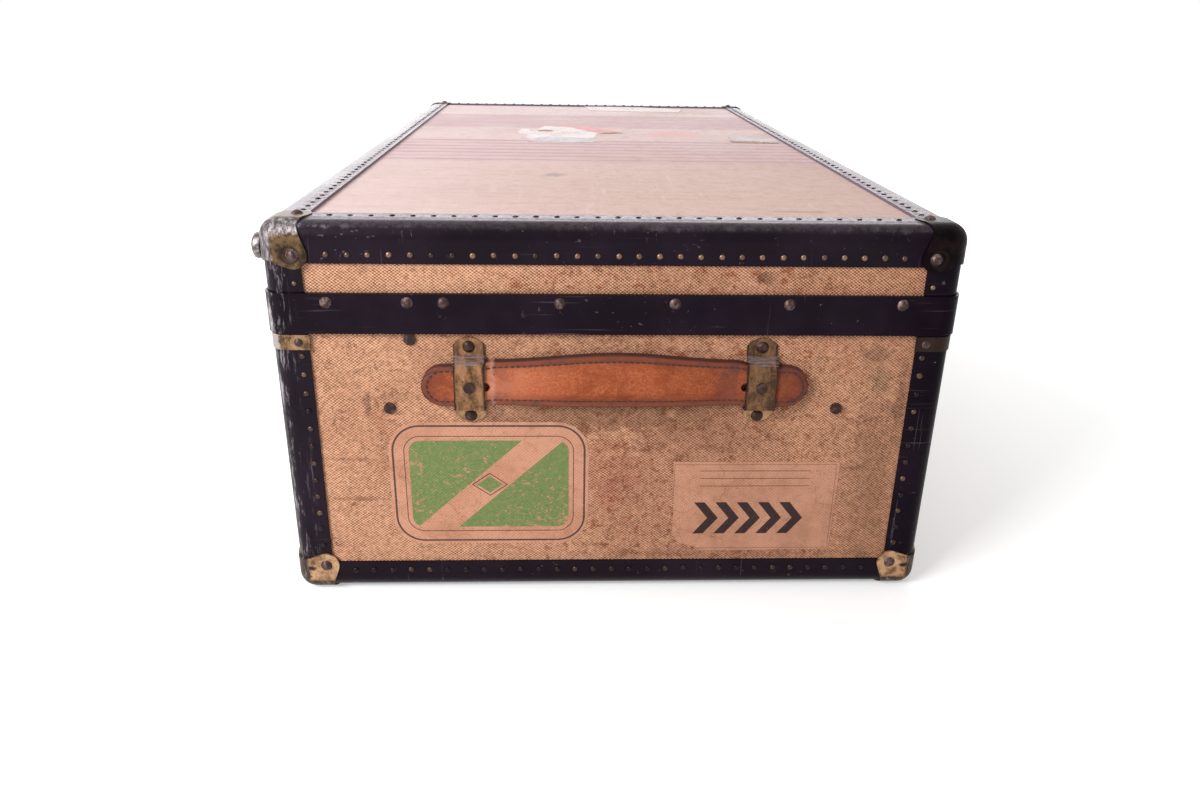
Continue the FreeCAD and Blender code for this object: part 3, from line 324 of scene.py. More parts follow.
def canvas_look():
    """Tan canvas: a coarse plain weave; on the lid's top it is faded, with a painted sheen, and painted in
    bands.
    """
    look = Look("tan_canvas", {"Roughness": 0.9, "Specular IOR Level": 0.18, "Sheen Weight": 0.08})
    x, y, z = look.xyz()
    face_x, _, face_z = look.facing()
    on_top = face_z.over(TURNED)
    on_lid = z.ease(PARTING_Z, PARTING_Z + 0.001)
    lid_side = on_lid * (1.0 - on_top)

    # Threads over and under each other, uneven in thickness, a little twilled on the lid's sides
    sway = (look.noise(0.008, 2, 2, 0.5) - 0.5) * 2.4
    drift = (look.noise(0.010, 4, 2) - 0.5) * 2.4
    across = face_x.over(TURNED).pick(x, y) * (math.pi / WARP_PITCH) + sway
    along = on_top.pick(z, y) * (math.pi / WEFT_PITCH) + drift
    lean = lid_side.pick(0.25, 0.28)
    weave = (across + along).sine() * lean + (across - along).sine() * (0.5 - lean)
    slub = look.noise(0.003, 3, 3, 0.7) - 0.5
    strength = look.noise(0.02, 19, 3, 0.6).ease(0.3, 0.7, 0.75, 1.15) * lid_side.pick(0.8, 1.05)
    height = weave * strength + slub + 0.5

    # Cloudy dirt, painted shade that darkens the lock side, the canvas darker towards the bottom, and
    # stains on the near end with a painted shadow under the handle
    cloud = look.noise(0.15, 7, 5, 0.65)
    fine = look.noise(0.014, 11, 5, 0.75, (1, 1, 1.5))
    grit = look.noise(0.0045, 37, 4, 0.8, (1, 1, 1.3))
    soil = look.noise(0.011, 43, 6, 0.85, (1, 1, 1.2))
    crumbs = look.noise(0.0042, 71, 5, 0.8)
    patches = look.noise(0.028, 73, 3, 0.6)
    fade = look.noise(0.016, 47, 6, 0.85, (1, 1, 1.2))
    red = look.noise(0.03, 13, 4, 0.7)
    calm = lid_side.pick(1.0, 0.5)
    colour = (cloud.ease(0.45, 0.7) * 0.4).tint((0.67, 0.348, 0.211), (0.30, 0.125, 0.064)).under(
        (fine.ease(0.56, 0.75) * 0.5, (0.21, 0.085, 0.045)),
        (grit.ease(0.56, 0.7) * cloud.ease(0.38, 0.6, 0.25, 0.75) * calm, (0.15, 0.058, 0.03)),
        # Painted shade: the canvas darkens towards the lock side
        (x.ease(-0.08, 0.26) * 0.3, (0.31, 0.098, 0.042)),
        (soil.ease(0.53, 0.58) * abs(x - 0.04).ease(0.2, 0.1, 0.15, 0.85), (0.30, 0.096, 0.040)),
        (crumbs.ease(0.54, 0.6) * patches.ease(0.48, 0.6) * calm * 0.6, (0.13, 0.048, 0.028)),
        (fade.ease(0.56, 0.7) * 0.35, (0.86, 0.52, 0.35)),
        (red.ease(0.56, 0.72) * 0.3, (0.36, 0.105, 0.055)),
        # Darker towards the bottom
        (z.ease(0.22, 0.05) * 0.14, (0.2, 0.08, 0.045)),
    )
    on_near = y.math("LESS_THAN", -CANVAS_HALF_Y + 0.002)
    ragged = (look.noise(0.016, 17, 5, 0.75) - 0.5) * 2.2
    # Stains, and the painted shadow under the handle
    for centre, radii, cover, darkening in STAINS_AND_SHADE:
        colour = colour.under((blot(x, z, centre, radii, ragged) * on_near * cover, darkening))
    # Painted shade and light on the weave: its hollows are darkened and its crests lightened
    colour = colour.dim(height.ease(0.0, 0.95, 0.3, 1.42))

    # The lid's top is a pinkish cream, partly faded and partly a painted sheen, with painted light on its
    # far part and its hinge side, and a striped lilac band and a plain one
    # Tan soiling towards the near end, held back on the hinge side so that side stays painted lighter
    tan = y.ease(0.0, -0.46) * soil.ease(0.36, 0.66, 0.1, 0.6) * x.ease(-0.26, 0.0, 0.35, 1.0)
    streak = look.noise(0.02, 23, 5, 0.75, (0.12, 3.0, 1.0))
    grazed = look.noise(0.02, 27, 5, 0.75, (2.6, 0.2, 1.0))
    worn = look.noise(0.035, 29, 5, 0.7, (0.4, 1, 1)).ease(0.34, 0.58, 0.45, 1.0)
    stripes = (y * (2 * math.pi / STRIPE_PITCH) + 1.2).sine().ease(0.1, 0.75, 0.28, 1.0)
    paint = y.within(*FRONT_BAND, BAND_EDGE) * stripes + y.within(*BACK_BAND, BAND_EDGE) * 0.62
    # Painted shade in the weave's hollows here too
    pale = height.ease(0.0, 0.9).tint((0.50, 0.345, 0.315), (0.71, 0.51, 0.47)).under(
        # Painted sheen: paler towards the far end
        (y.ease(-0.4, 0.5) * 0.75, (0.80, 0.675, 0.675)),
        (cloud.ease(0.46, 0.72) * 0.4, (0.47, 0.30, 0.25)),
        (fine.ease(0.48, 0.68) * 0.5, (0.44, 0.27, 0.21)),
        (tan, (0.52, 0.335, 0.245)),
        # Painted light: paler towards the hinge side
        (x.ease(0.04, -0.24) * 0.4, (0.80, 0.62, 0.62)),
        (streak.ease(0.5, 0.7) * 0.4, (0.44, 0.285, 0.24)),
        (grazed.ease(0.55, 0.7) * 0.3, (0.74, 0.58, 0.53)),
        (paint * worn * 0.72, (0.46, 0.25, 0.30)),
    )
    for centre, radii, mark in LID_MARKS:
        pale = pale.under((blot(x, y, centre, radii, ragged) * 0.5, mark))
    return look.done((on_top * on_lid).tint(colour, pale), height, 0.0004)


# Scratches in black sheet: cover, size, stretch, level, seed
BLACK_SCRATCHES = (
    (0.2, 0.05, (0.5, 0.5, 26.0), 0.64, 3),
    (0.22, 0.05, (22.0, 22.0, 0.6), 0.66, 9),
    (0.3, 0.03, (5.0, 5.0, 9.0), 0.68, 15),
    (0.25, 0.06, (9.0, 9.0, 7.0), 0.70, 65),
)


def fibre_look(name, bare, gloss, dust_and_sheen_share):
    """Black sheet: vulcanised fibre or enamelled steel, scuffed, worn pale round the trunk's edges."""
    look = Look(name, {"Specular Tint": (1.0, 0.86, 0.97, 1.0)})
    x, y, z = look.xyz()
    _, _, face_z = look.facing()
    grain = look.noise(0.004, 2, 4, 0.6)
    cloud = look.noise(0.07, 31, 4, 0.6)
    speck = look.noise(0.006, 41, 3, 0.75)
    chafe = look.noise(0.012, 57, 5, 0.75, (3.0, 3.0, 0.5))

    # Wear on the rounded edges, strongest on the hinge side's near corner
    ragged = look.noise(0.011, 51, 5, 0.75, (1, 1, 0.3)) - 0.5
    left = x.ease(-0.19, -0.26)
    worn = (edge_share(look) + ragged * 1.7).ease(0.62, 0.95) * (left * 0.85 + 0.1)
    chafed = chafe.ease(0.52, 0.66) * x.ease(-0.240, -0.264) * z.ease(0.05, 0.25, 0.62, 0.78)
    chafed = chafed * y.ease(0.045 - HALF_Y, 0.012 - HALF_Y, 0.12, 1.0)

    # Dust and a painted sheen on the lid's faces that are turned up, and a painted highlight on the thin
    # inner edges of its top bindings
    dust_and_sheen = face_z.ease(0.45, 1.0) * z.ease(0.29, 0.30) * chafe.ease(0.36, 0.6, 0.3, 1.0)
    rim = z.ease(TOP_Z - 0.0045, TOP_Z - 0.0040) * face_z.ease(0.6, 0.3)
    black = cloud.ease(0.35, 0.7).tint((0.0042, 0.0014, 0.0044), (0.0112, 0.0054, 0.0116))
    colour = black.under(
        *[(scratches(look, *streak) * cover, SCUFF) for cover, *streak in BLACK_SCRATCHES],
        (speck.ease(0.69, 0.76) * 0.4, (0.32, 0.27, 0.27)),
        (worn, bare),
        (chafed, bare),
        (dust_and_sheen * dust_and_sheen_share, DUST_AND_SHEEN),
        # Painted highlight along the inner edges of the top bindings
        (rim * 0.55, DUST_AND_SHEEN),
    )
    look.set("Specular IOR Level", x.ease(0.18, 0.26, gloss, gloss * 0.4))
    rough = grain * 0.14 + worn * 0.2 + cloud * 0.16 + 0.2
    return look.done(colour, grain * 0.6 + cloud * 0.8, 0.0003, rough)


# Places on the caps: a rivet from the top corners, and the worn slot from the bottom ones
CAP_RIVET = (0.0224, 0.0245)
CAP_SLOT = (0.0115, 0.0215)


def cap_look():
    """Drawn brass caps: dark or rubbed to bare metal at the top, bright on their lobes at the bottom."""
    look = Look("corner_cap_brass", {"Metallic": 0.7})
    x, _, z = look.xyz()
    patch = look.noise(0.010, 4, 5, 0.7)
    fine = look.noise(0.003, 6, 4, 0.7)
    streak = look.noise(0.006, 16, 4, 0.75, (2.0, 2.0, 0.5))
    spot = look.noise(0.005, 14, 3, 0.7)
    low = z.ease(0.16, 0.15)
    left = x.ease(0.01, -0.01)
    bronze = patch.ease(0.36, 0.68).tint((0.003, 0.0014, 0.0024), (0.013, 0.0056, 0.0064))
    brown = patch.ease(0.38, 0.66).tint((0.03, 0.017, 0.010), (0.15, 0.092, 0.045))
    bright = patch.ease(0.34, 0.62).tint((0.14, 0.07, 0.032), (0.56, 0.34, 0.19))

    # A dark ring round the rivets on the ends, and a small slot worn in the bottom lobes
    far = span(abs(x) - (HALF_X - CAP_RIVET[0]), z - (TOP_Z - CAP_RIVET[1]))
    slot = blot(abs(x), z, (HALF_X - CAP_SLOT[0], LOW_Z + CAP_SLOT[1]), (0.0055, 0.0026), 0.0)

    # Bare metal on the crown of the edges, widest at the hinge side
    reach = low.pick(left.pick(1.15, 0.24), 0.16)
    bare = (edge_share(look) + (patch - 0.5) * 1.3 - reach).ease(0.0, 0.22)
    silver = streak.ease(0.38, 0.66).tint((0.05, 0.04, 0.045), (0.36, 0.325, 0.335))
    dull = streak.ease(0.52, 0.66).tint((0.022, 0.014, 0.015), (0.20, 0.155, 0.14))
    colour = low.tint(left.tint(bronze, brown), bright).under(
        (far.within(0.0052, 0.0072, 0.0008) * 0.75, SOOT),
        (slot * 0.95, (0.012, 0.009, 0.010)),
        (bare * 0.92, low.tint(silver, dull)),
        (spot.ease(0.6, 0.68) * 0.6, SOOT),
    )
    look.set("Specular IOR Level", left.pick(0.10, 0.25))
    return look.done(colour, patch + fine * 0.5, 0.0005, patch * 0.3 + fine * 0.15 + 0.26)


def brass_look(name, dark, bright, dulled, strip_x=None):
    """Tarnished sheet brass, duller towards the lock side. Strips at a place in x have dark edges."""
    look = Look(name, {"Metallic": 0.7, "Specular IOR Level": 0.25})
    x, _, z = look.xyz()
    patch = look.noise(0.008, 5, 5, 0.72, (1, 1, 0.6))
    fine = look.noise(0.0022, 8, 4, 0.7)
    spot = look.noise(0.004, 12, 3, 0.7)
    brushed = look.noise(0.004, 18, 4, 0.75, (0.25, 1, 3.0))
    colour = patch.ease(0.34, 0.66).tint(dark, bright)
    if strip_x:
        rim = (abs(abs(x) - strip_x) + (patch - 0.5) * 0.008).ease(0.0100, 0.0116)
        colour = colour.under((rim * 0.9, (0.010, 0.006, 0.008)))
    rub = (edge_share(look) + patch).ease(0.75, 1.0) * x.ease(0.0, -0.2)
    # Painted highlight: where the sheet is bent and faces up it is painted a lighter grey, for the light on
    # the bend
    painted_bend_highlight = look.normal()[2].ease(0.2, 0.55) * brushed.ease(0.4, 0.62)
    colour = colour.under(
        (rub * 0.8, (0.40, 0.36, 0.36)),
        (x.ease(-0.02, 0.02) * dulled, (0.018, 0.009, 0.007)),
        (spot.ease(0.6, 0.68) * 0.7, (0.025, 0.015, 0.012)),
        (painted_bend_highlight * 0.6, (0.28, 0.23, 0.24)),
    )
    if strip_x:
        foot = z.ease(BRACKET_LOW + 0.0122, BRACKET_LOW + 0.0112)
        colour = colour.under((foot * patch.ease(0.4, 0.55, 0.25, 0.75), (0.46, 0.275, 0.14)))
    return look.done(colour, patch + fine * 0.6, 0.0003, patch * 0.25 + fine * 0.2 + 0.28)


def rivet_look(name, dark, rubbed):
    """Browned rivet heads, mottled and rubbed in places."""
    look = Look(name, {"Metallic": 0.6, "Specular IOR Level": 0.3})
    patch = look.noise(0.004, 5, 4, 0.65)
    place = look.noise(0.05, 9, 1)
    amount = patch.ease(0.44, 0.66) * place.ease(0.35, 0.65, 0.35, 1.0)
    return look.done(amount.tint(dark, rubbed), patch, 0.0003, patch * 0.25 + 0.3)


def tack_look():
    """Small domed tacks, some still brassy and some brown, each with its own tone."""
    look = Look("binding_tack_brass", {"Metallic": 0.7, "Specular IOR Level": 0.3})
    patch = look.noise(0.0016, 5, 3, 0.65)
    amount = look.attribute("tone") + (patch - 0.5) * 0.5
    colour = amount.ease(0.1, 1.0).tint((0.013, 0.007, 0.008), (0.20, 0.122, 0.082))
    return look.done(colour, patch, 0.0002, patch * 0.2 + 0.2)


def steel_look():
    """Dull plated steel with fine drawn lines."""
    look = Look("dull_steel", {"Metallic": 0.9})
    grain = look.noise(0.003, 3, 4, 0.6, (0.2, 1, 6))
    rust = look.noise(0.015, 13, 4, 0.7).ease(0.6, 0.75)
    colour = grain.ease(0.3, 0.7).tint((0.30, 0.29, 0.28), (0.50, 0.49, 0.47))
    colour = colour.under((rust * 0.6, (0.16, 0.08, 0.045)))
    return look.done(colour, grain, 0.0001, grain * 0.2 + rust * 0.25 + 0.28)


def plywood_look():
    """Bare plywood edges and faces: long grain, a few darker lines."""
    look = Look("plywood", {"Roughness": 0.75, "Specular IOR Level": 0.3})
    grain = look.noise(0.012, 3, 5, 0.6, (0.15, 0.15, 3.0))
    line = look.noise(0.004, 9, 3, 0.6, (1.0, 0.06, 1.0))
    colour = grain.ease(0.3, 0.7).tint((0.36, 0.22, 0.115), (0.56, 0.38, 0.22))
    colour = colour.under((line.ease(0.5, 0.7) * 0.5, (0.26, 0.15, 0.08)))
    return look.done(colour, grain, 0.0002)


CHECK_PITCH = 0.014


def lining_look():
    """Aged lining paper: a faint check of fine lines, foxed with brown spots."""
    look = Look("lining_paper", {"Roughness": 0.82, "Specular IOR Level": 0.25})
    x, y, z = look.xyz()
    face_x, _, face_z = look.facing()
    flat = face_z.over(TURNED)
    u = flat.pick(face_x.over(TURNED).pick(x, y), x)
    v = flat.pick(z, y)
    lines = [(w * (2 * math.pi / CHECK_PITCH)).sine().ease(0.86, 0.97) for w in (u, v)]
    cloud = look.noise(0.12, 3, 5, 0.65)
    spot = look.noise(0.014, 7, 4, 0.7)
    colour = cloud.ease(0.35, 0.7).tint((0.66, 0.55, 0.39), (0.52, 0.40, 0.26)).under(
        (lines[0].most(lines[1]) * 0.4, (0.30, 0.22, 0.20)),
        (spot.ease(0.64, 0.76) * 0.45, (0.30, 0.17, 0.08)),
    )
    return look.done(colour, look.noise(0.0015, 5), 0.00012)


def leather_look():
    """Orange-brown strap leather: napped on the padded middle, dark and polished along its borders."""
    look = Look("strap_leather", {"Specular IOR Level": 0.2}, rest=True)
    x, _, _ = look.split(look.place)
    side, depth, run = (look.attribute(name) for name in ("across", "depth", "run"))
    nap = look.noise(0.0015, 3, 5, 0.7, (0.7, 1, 1))
    cloud = look.noise(0.022, 7, 4, 0.65, (1, 1, 1.4))
    bruise = look.noise(0.012, 33, 5, 0.75).ease(0.5, 0.62)
    wobble = cloud - 0.5

    # The stitched border, which also closes the padded part at both ends
    along = (x + wobble * 0.02).ease(0.076, 0.086) * x.ease(0.094, 0.099, 1.0, 0.0)
    # Painted shade: the padded middle darkens towards its border, where the pad rounds away
    painted_pad_shade = (side + wobble * 0.3).ease(0.42, 0.76)
    border = (side + wobble * 0.12).ease(0.70, 0.77).most(along * 0.8)
    rim = (side + (nap - 0.5) * 0.1).ease(0.92, 0.99)
    groove = side.within(0.715, 0.765, 0.012)
    layer = depth.within(0.0036, 0.0042, 0.0003)

    # Grimy ends, and a pale crack and a rubbed patch beside the bracket on the hinge side
    grime = (x + wobble * 0.03).ease(0.120, 0.150)
    tear = run + (look.noise(0.008, 23, stretch=(0.2, 0.2, 1.0)) - 0.5) * 0.008
    chapped = tear.within(-0.104, -0.0945, 0.002) * cloud.ease(0.35, 0.6, 0.5, 1.0)
    crack = tear.within(-0.0972, -0.0950, 0.0012) * nap.ease(0.3, 0.6, 0.25, 1.0)
    rubbed = run.ease(-0.03, -0.09) * run.ease(-0.120, -0.110) * side.ease(0.85, 0.6)
    colour = nap.ease(0.3, 0.7).tint((0.28, 0.057, 0.018), (0.49, 0.135, 0.052)).under(
        (cloud.ease(0.45, 0.65) * 0.7, (0.25, 0.05, 0.017)),
        (painted_pad_shade * 0.42, (0.19, 0.046, 0.022)),
        (border * 0.62, (0.15, 0.044, 0.028)),
        (rim * 0.8, (0.035, 0.013, 0.013)),
        (groove * 0.3, (0.07, 0.02, 0.013)),
        (grime * 0.5, (0.14, 0.036, 0.02)),
        (bruise * x.ease(0.085, 0.115) * 0.55, (0.10, 0.034, 0.028)),
        # Painted shade: the lock-side half of the strap is darker
        (run.ease(0.02, 0.15) * 0.45, (0.10, 0.022, 0.012)),
        (chapped * 0.5, (0.52, 0.215, 0.125)),
        (crack * 0.55, (0.56, 0.33, 0.26)),
        (layer * rim * 0.8, (0.012, 0.006, 0.006)),
        (rubbed * cloud.ease(0.38, 0.58, 0.35, 1.0) * 0.4, (0.70, 0.25, 0.14)),
        (bruise * border * 0.5, (0.085, 0.034, 0.036)),
    )
    rough = border.pick(nap * 0.2 + 0.6, nap * 0.2 + 0.34)
    return look.done(colour, nap * border.pick(1.0, 0.4) + crack * 0.5, 0.0004, rough)


def thread_look():
    look = Look("waxed_thread", {"Roughness": 0.6})
    twist = look.noise(0.0009, 3, 2, stretch=(3.0, 1, 1))
    return look.done(twist.tint((0.010, 0.006, 0.006), (0.045, 0.022, 0.018)), twist, 0.0002)


# Pitches of the threads that show through paper, and the depth of its bumps
PAPER_WARP_PITCH = 0.0016
PAPER_WEFT_PITCH = 0.00135
PAPER_DEPTH = 0.0003


class Paper(Look):
    """Old glued paper: mottled and creased, with the canvas weave showing through."""

    def __init__(self, name, sockets, colour, shade):
        super().__init__(name, sockets)
        self.cloud = self.noise(0.03, 3, 5, 0.65)
        self.fleck = self.noise(0.003, 8, 4, 0.75)
        darkening = self.noise(0.012, 21, 6, 0.85)
        crease = abs(self.noise(0.045, 91, 2, 0.4) - 0.5)
        x, y, z = self.xyz()
        weave = (x * (math.pi / PAPER_WARP_PITCH)).sine() * ((y + z) * (math.pi / PAPER_WEFT_PITCH)).sine()
        self.base = self.cloud.ease(0.38, 0.7).tint(colour, shade).under(
            (self.fleck.ease(0.54, 0.72) * 0.4, (0.28, 0.135, 0.08)),
            (darkening.ease(0.54, 0.6) * 0.3, (0.30, 0.125, 0.07)),
            (crease.ease(0.0, 0.006, 0.4, 0.0), (0.24, 0.105, 0.06)),
            (weave.ease(0.2, -0.9, 0.0, 0.22), (0.2, 0.09, 0.05)),
        )
        self.height = weave * 0.35 + self.fleck + self.cloud

    def inked(self, colour):
        return self.done(colour, self.height, PAPER_DEPTH)


def box_edge(u, v, centre, half, radius=0.0):
    """Signed distance outside a box with round corners on a face."""
    du = abs(u - centre[0]) - (half[0] - radius)
    dv = abs(v - centre[1]) - (half[1] - radius)
    return span(du.most(0.0), dv.most(0.0)) + du.most(dv).least(0.0) - radius


LABEL_SOCKETS = {"Roughness": 0.85, "Specular IOR Level": 0.18}
GREEN_CENTRE = (-0.1015, 0.101)
GREEN_HALF = (0.081, 0.056)
GREEN_CORNER = 0.026
SLIP_CENTRE = (0.118, 0.079)
SLIP_HALF = (0.0705, 0.0428)


def green_label_look():
    """A plain baggage sticker: dark outline, cream border, green field with a cream sash and a lozenge."""
    look = Paper("green_sticker_paper", LABEL_SOCKETS, (0.66, 0.325, 0.21), (0.56, 0.265, 0.165))
    x, _, z = look.xyz()
    u = x - GREEN_CENTRE[0]
    v = z - GREEN_CENTRE[1]
    out = box_edge(x, z, GREEN_CENTRE, GREEN_HALF, GREEN_CORNER)
    sash = abs(u - v * 1.1)
    lozenge = abs(u) + abs(v) * 1.4
    field = out.ease(-0.0165, -0.0160, 1.0, 0.0) * sash.ease(0.0165, 0.0171)
    field = field.most(lozenge.ease(0.0104, 0.0109, 1.0, 0.0))
    chips = look.noise(0.005, 61, 5, 0.8, (1, 1, 1.6))
    worn = (chips + look.cloud * 0.5).ease(0.83, 0.90, 0.95, 0.1)
    green = look.fleck.ease(0.35, 0.7).tint((0.125, 0.215, 0.065), (0.205, 0.255, 0.10))
    ring = lozenge.within(0.0135, 0.0148, 0.0002)
    line = out.within(-0.0042, -0.0026, 0.0003)
    thin = out.within(-0.0128, -0.0121, 0.0002)
    ink = line.most(thin.most(ring)) * chips.ease(0.6, 0.7, 0.9, 0.25)
    return look.inked(look.base.under((field * worn, green), (ink, (0.035, 0.028, 0.04))))


RULE_LEVELS = (0.1125, 0.1055, 0.0985)
RULE_HALF = 0.046
CHEVRON_Z = 0.0685
CHEVRON_PITCH = 0.018
CHEVRON_START = SLIP_CENTRE[0] - 0.040


def slip_label_look():
    """A plain paper slip: a ruled border, blank writing lines and a row of chevrons."""
    look = Paper("ruled_slip_paper", LABEL_SOCKETS, (0.60, 0.298, 0.192), (0.47, 0.225, 0.138))
    x, _, z = look.xyz()
    out = box_edge(x, z, SLIP_CENTRE, SLIP_HALF)
    marks = (out.within(-0.0034, -0.0029, 0.0002) * 0.6).most(out.ease(-0.0010, 0.0) * 0.55)
    wide = x.within(SLIP_CENTRE[0] - RULE_HALF, SLIP_CENTRE[0] + RULE_HALF, 0.0004)
    for level in RULE_LEVELS:
        marks = marks.most(z.within(level, level + 0.0007, 0.0002) * wide * 0.7)
    lean = abs(z - CHEVRON_Z)
    run = x - CHEVRON_START + lean * 0.8
    chevron = run.math("WRAP", CHEVRON_PITCH, 0.0).within(0.0022, 0.0112, 0.0003)
    row = lean.ease(0.0148, 0.0152, 1.0, 0.0) * run.within(0.0, 0.0895, 0.0003)
    ink = marks.most(chevron * row) * look.fleck.ease(0.62, 0.74, 0.94, 0.35)
    return look.inked(look.base.under((ink, (0.014, 0.010, 0.016))))


def scrap_look(name, colour, shade):
    look = Paper(name, {"Roughness": 0.8, "Specular IOR Level": 0.3}, colour, shade)
    return look.inked(look.base)


def set_attribute(mesh, name, values):
    """Stores a number for each point of a mesh, or a vector as three of them."""
    if len(values) == len(mesh.vertices):
        mesh.attributes.new(name, "FLOAT", "POINT").data.foreach_set("value", values)
    else:
        mesh.attributes.new(name, "FLOAT_VECTOR", "POINT").data.foreach_set("vector", values)


def mesh_piece(name, points, faces, material, body, flat=False, tones=None):
    """A new piece that rides on a body."""
    mesh = bpy.data.meshes.new(name)
    mesh.from_pydata(points, [], faces)
    mesh.validate()
    if tones:
        set_attribute(mesh, "tone", tones)
    mesh.materials.append(material)
    piece = bpy.data.objects.new(name, mesh)
    bpy.context.scene.collection.objects.link(piece)
    if not flat:
        for polygon in mesh.polygons:
            polygon.use_smooth = True
        mesh.set_sharp_from_angle(angle=math.radians(40))
    if body:
        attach(piece, body)
    return piece


def tube_faces(rings, count, base=0):
    """Faces of a closed tube of points, ring after ring, with a cap on both ends."""
    faces = []
    for ring in range(rings - 1):
        for index in range(count):
            a = base + ring * count + index
            b = base + ring * count + (index + 1) % count
            faces.append((a, b, b + count, a + count))
    first = list(range(base, base + count))
    last = [index + (rings - 1) * count for index in first]
    return faces + [first[::-1], last]


def turned(faces):
    """The same faces, looking the other way."""
    return [face[::-1] for face in faces]


# Rings of a domed head from its foot to its crown: share of the radius, share of the rise
DOME_SHARES = ((1.0, -0.12), (0.97, 0.25), (0.78, 0.66), (0.42, 0.93))
LOBE_SHARES = ((1.0, -0.5), (1.0, 0.35), (0.94, 0.62), (0.72, 0.9), (0.4, 1.0))
HEAD_STRAY = 0.0003
HEAD_TILT = 0.06


class Heads:
    """Domed heads of tacks or rivets, gathered into one piece."""

    def __init__(self, seed, sides=10, rings=DOME_SHARES):
        self.points = []
        self.faces = []
        self.tones = []
        self.draw = random.Random(seed)
        self.sides = sides
        self.rings = rings

    def add(self, foot, outward, radius, rise, tone=(0.0, 1.0)):
        outward = Vector(outward)
        side = outward.cross(Vector(UP) if abs(outward.z) < 0.5 else Vector(TO_LOCK))
        other = outward.cross(side)
        uniform = self.draw.uniform
        stray_side = side * uniform(-HEAD_STRAY, HEAD_STRAY)
        foot = Vector(foot) + stray_side + other * uniform(-HEAD_STRAY, HEAD_STRAY)
        radius = radius * uniform(0.94, 1.06)
        rise = rise * uniform(0.85, 1.1)
        tilt = side * uniform(-HEAD_TILT, HEAD_TILT) + other * uniform(-HEAD_TILT, HEAD_TILT)
        shade = uniform(*tone)
        base = len(self.points)
        for share, level in self.rings:
            for index in range(self.sides):
                angle = 2 * math.pi * index / self.sides
                out = (side * math.cos(angle) + other * math.sin(angle)) * (radius * share)
                self.points.append(foot + out + outward * (rise * level + out.dot(tilt)))
        crown = len(self.points)
        self.points.append(foot + outward * rise)
        *faces, last = tube_faces(len(self.rings), self.sides, base)
        self.faces += faces
        self.faces += [(a, b, crown) for a, b in zip(last, last[1:] + last[:1])]
        self.tones += [shade] * (crown - base + 1)

    def finish(self, name, material, body):
        mesh_piece(name, self.points, self.faces, material, body, tones=self.tones)


TOP_ROW_Z = 0.293
TOP_ROW_INSET = 0.024
BOTTOM_ROW_Z = 0.0205
CORNER_ROW_INSET = 0.0234
CORNER_ROW_LEVELS = spread(0.045, 0.213, 0.0154)
LID_CORNER_TACK_Z = 0.2705
END_ROW = spread(-0.217, 0.217, 0.0155)
SIDE_ROW = spread(-0.4545, 0.4545, 0.0154)
TACK_RADIUS = 0.0024
TACK_RISE = 0.0015
UNDER_TACK_RISE = 0.001

# Ranges of tone for tacks, from 0 for dark to 1 for bright brass
RUBBED = (0.3, 1.0)
DULL = (0.1, 0.6)
DARK = (0.05, 0.4)


def make_tacks(material):
    """Rows of tacks along every edge of the bindings."""
    case = Heads(11)
    lid = Heads(12)

    def tack_rows(places, at_face, at_row, out):
        """Tacks along one edge at the top and one at the bottom, on the face and on the flat legs."""
        for place in places:
            lid.add(at_face(place, TOP_ROW_Z), out, TACK_RADIUS, TACK_RISE, RUBBED)
            lid.add(at_row(place, TOP_Z), UP, TACK_RADIUS, TACK_RISE, DARK)
            case.add(at_face(place, BOTTOM_ROW_Z), out, TACK_RADIUS, TACK_RISE, DARK)
            case.add(at_row(place, LOW_Z), DOWN, TACK_RADIUS, UNDER_TACK_RISE, DARK)

    for sign in (-1, 1):
        out_y = (0, sign, 0)
        out_x = (sign, 0, 0)
        face_y = sign * HALF_Y
        face_x = CENTRE_X + sign * HALF_X
        row_y = sign * (HALF_Y - TOP_ROW_INSET)
        row_x = CENTRE_X + sign * (HALF_X - TOP_ROW_INSET)
        end_places = (lambda x, z: (CENTRE_X + x, face_y, z), lambda x, z: (CENTRE_X + x, row_y, z))
        side_places = (lambda y, z: (face_x, y, z), lambda y, z: (row_x, y, z))
        tack_rows(END_ROW, *end_places, out_y)
        tack_rows(SIDE_ROW, *side_places, out_x)
        for corner in (-1, 1):
            x = CENTRE_X + corner * (HALF_X - CORNER_ROW_INSET)
            y = corner * (HALF_Y - CORNER_ROW_INSET)
            for z in CORNER_ROW_LEVELS:
                case.add((x, face_y, z), out_y, TACK_RADIUS, TACK_RISE, DULL)
                case.add((face_x, y, z), out_x, TACK_RADIUS, TACK_RISE, DULL)
            lid.add((x, face_y, LID_CORNER_TACK_Z), out_y, TACK_RADIUS * 0.9, TACK_RISE, RUBBED)
            lid.add((face_x, y, LID_CORNER_TACK_Z), out_x, TACK_RADIUS * 0.9, TACK_RISE, RUBBED)
    case.finish("case_tacks", material, "case")
    lid.finish("lid_tacks", material, "lid")


RIVET_SIZE = (0.0026, 0.0011)
CATCH_RIVET_SIZE = (0.0022, 0.0009)
LEAF_THICKNESS = 0.0016
LOCK_THICKNESS = 0.0014
HINGE_PLACES = (-0.33, 0.0, 0.33)
CLASP_PLACES = (-0.31, 0.31)
HASP_PLACES = (-0.31, 0.0, 0.31)


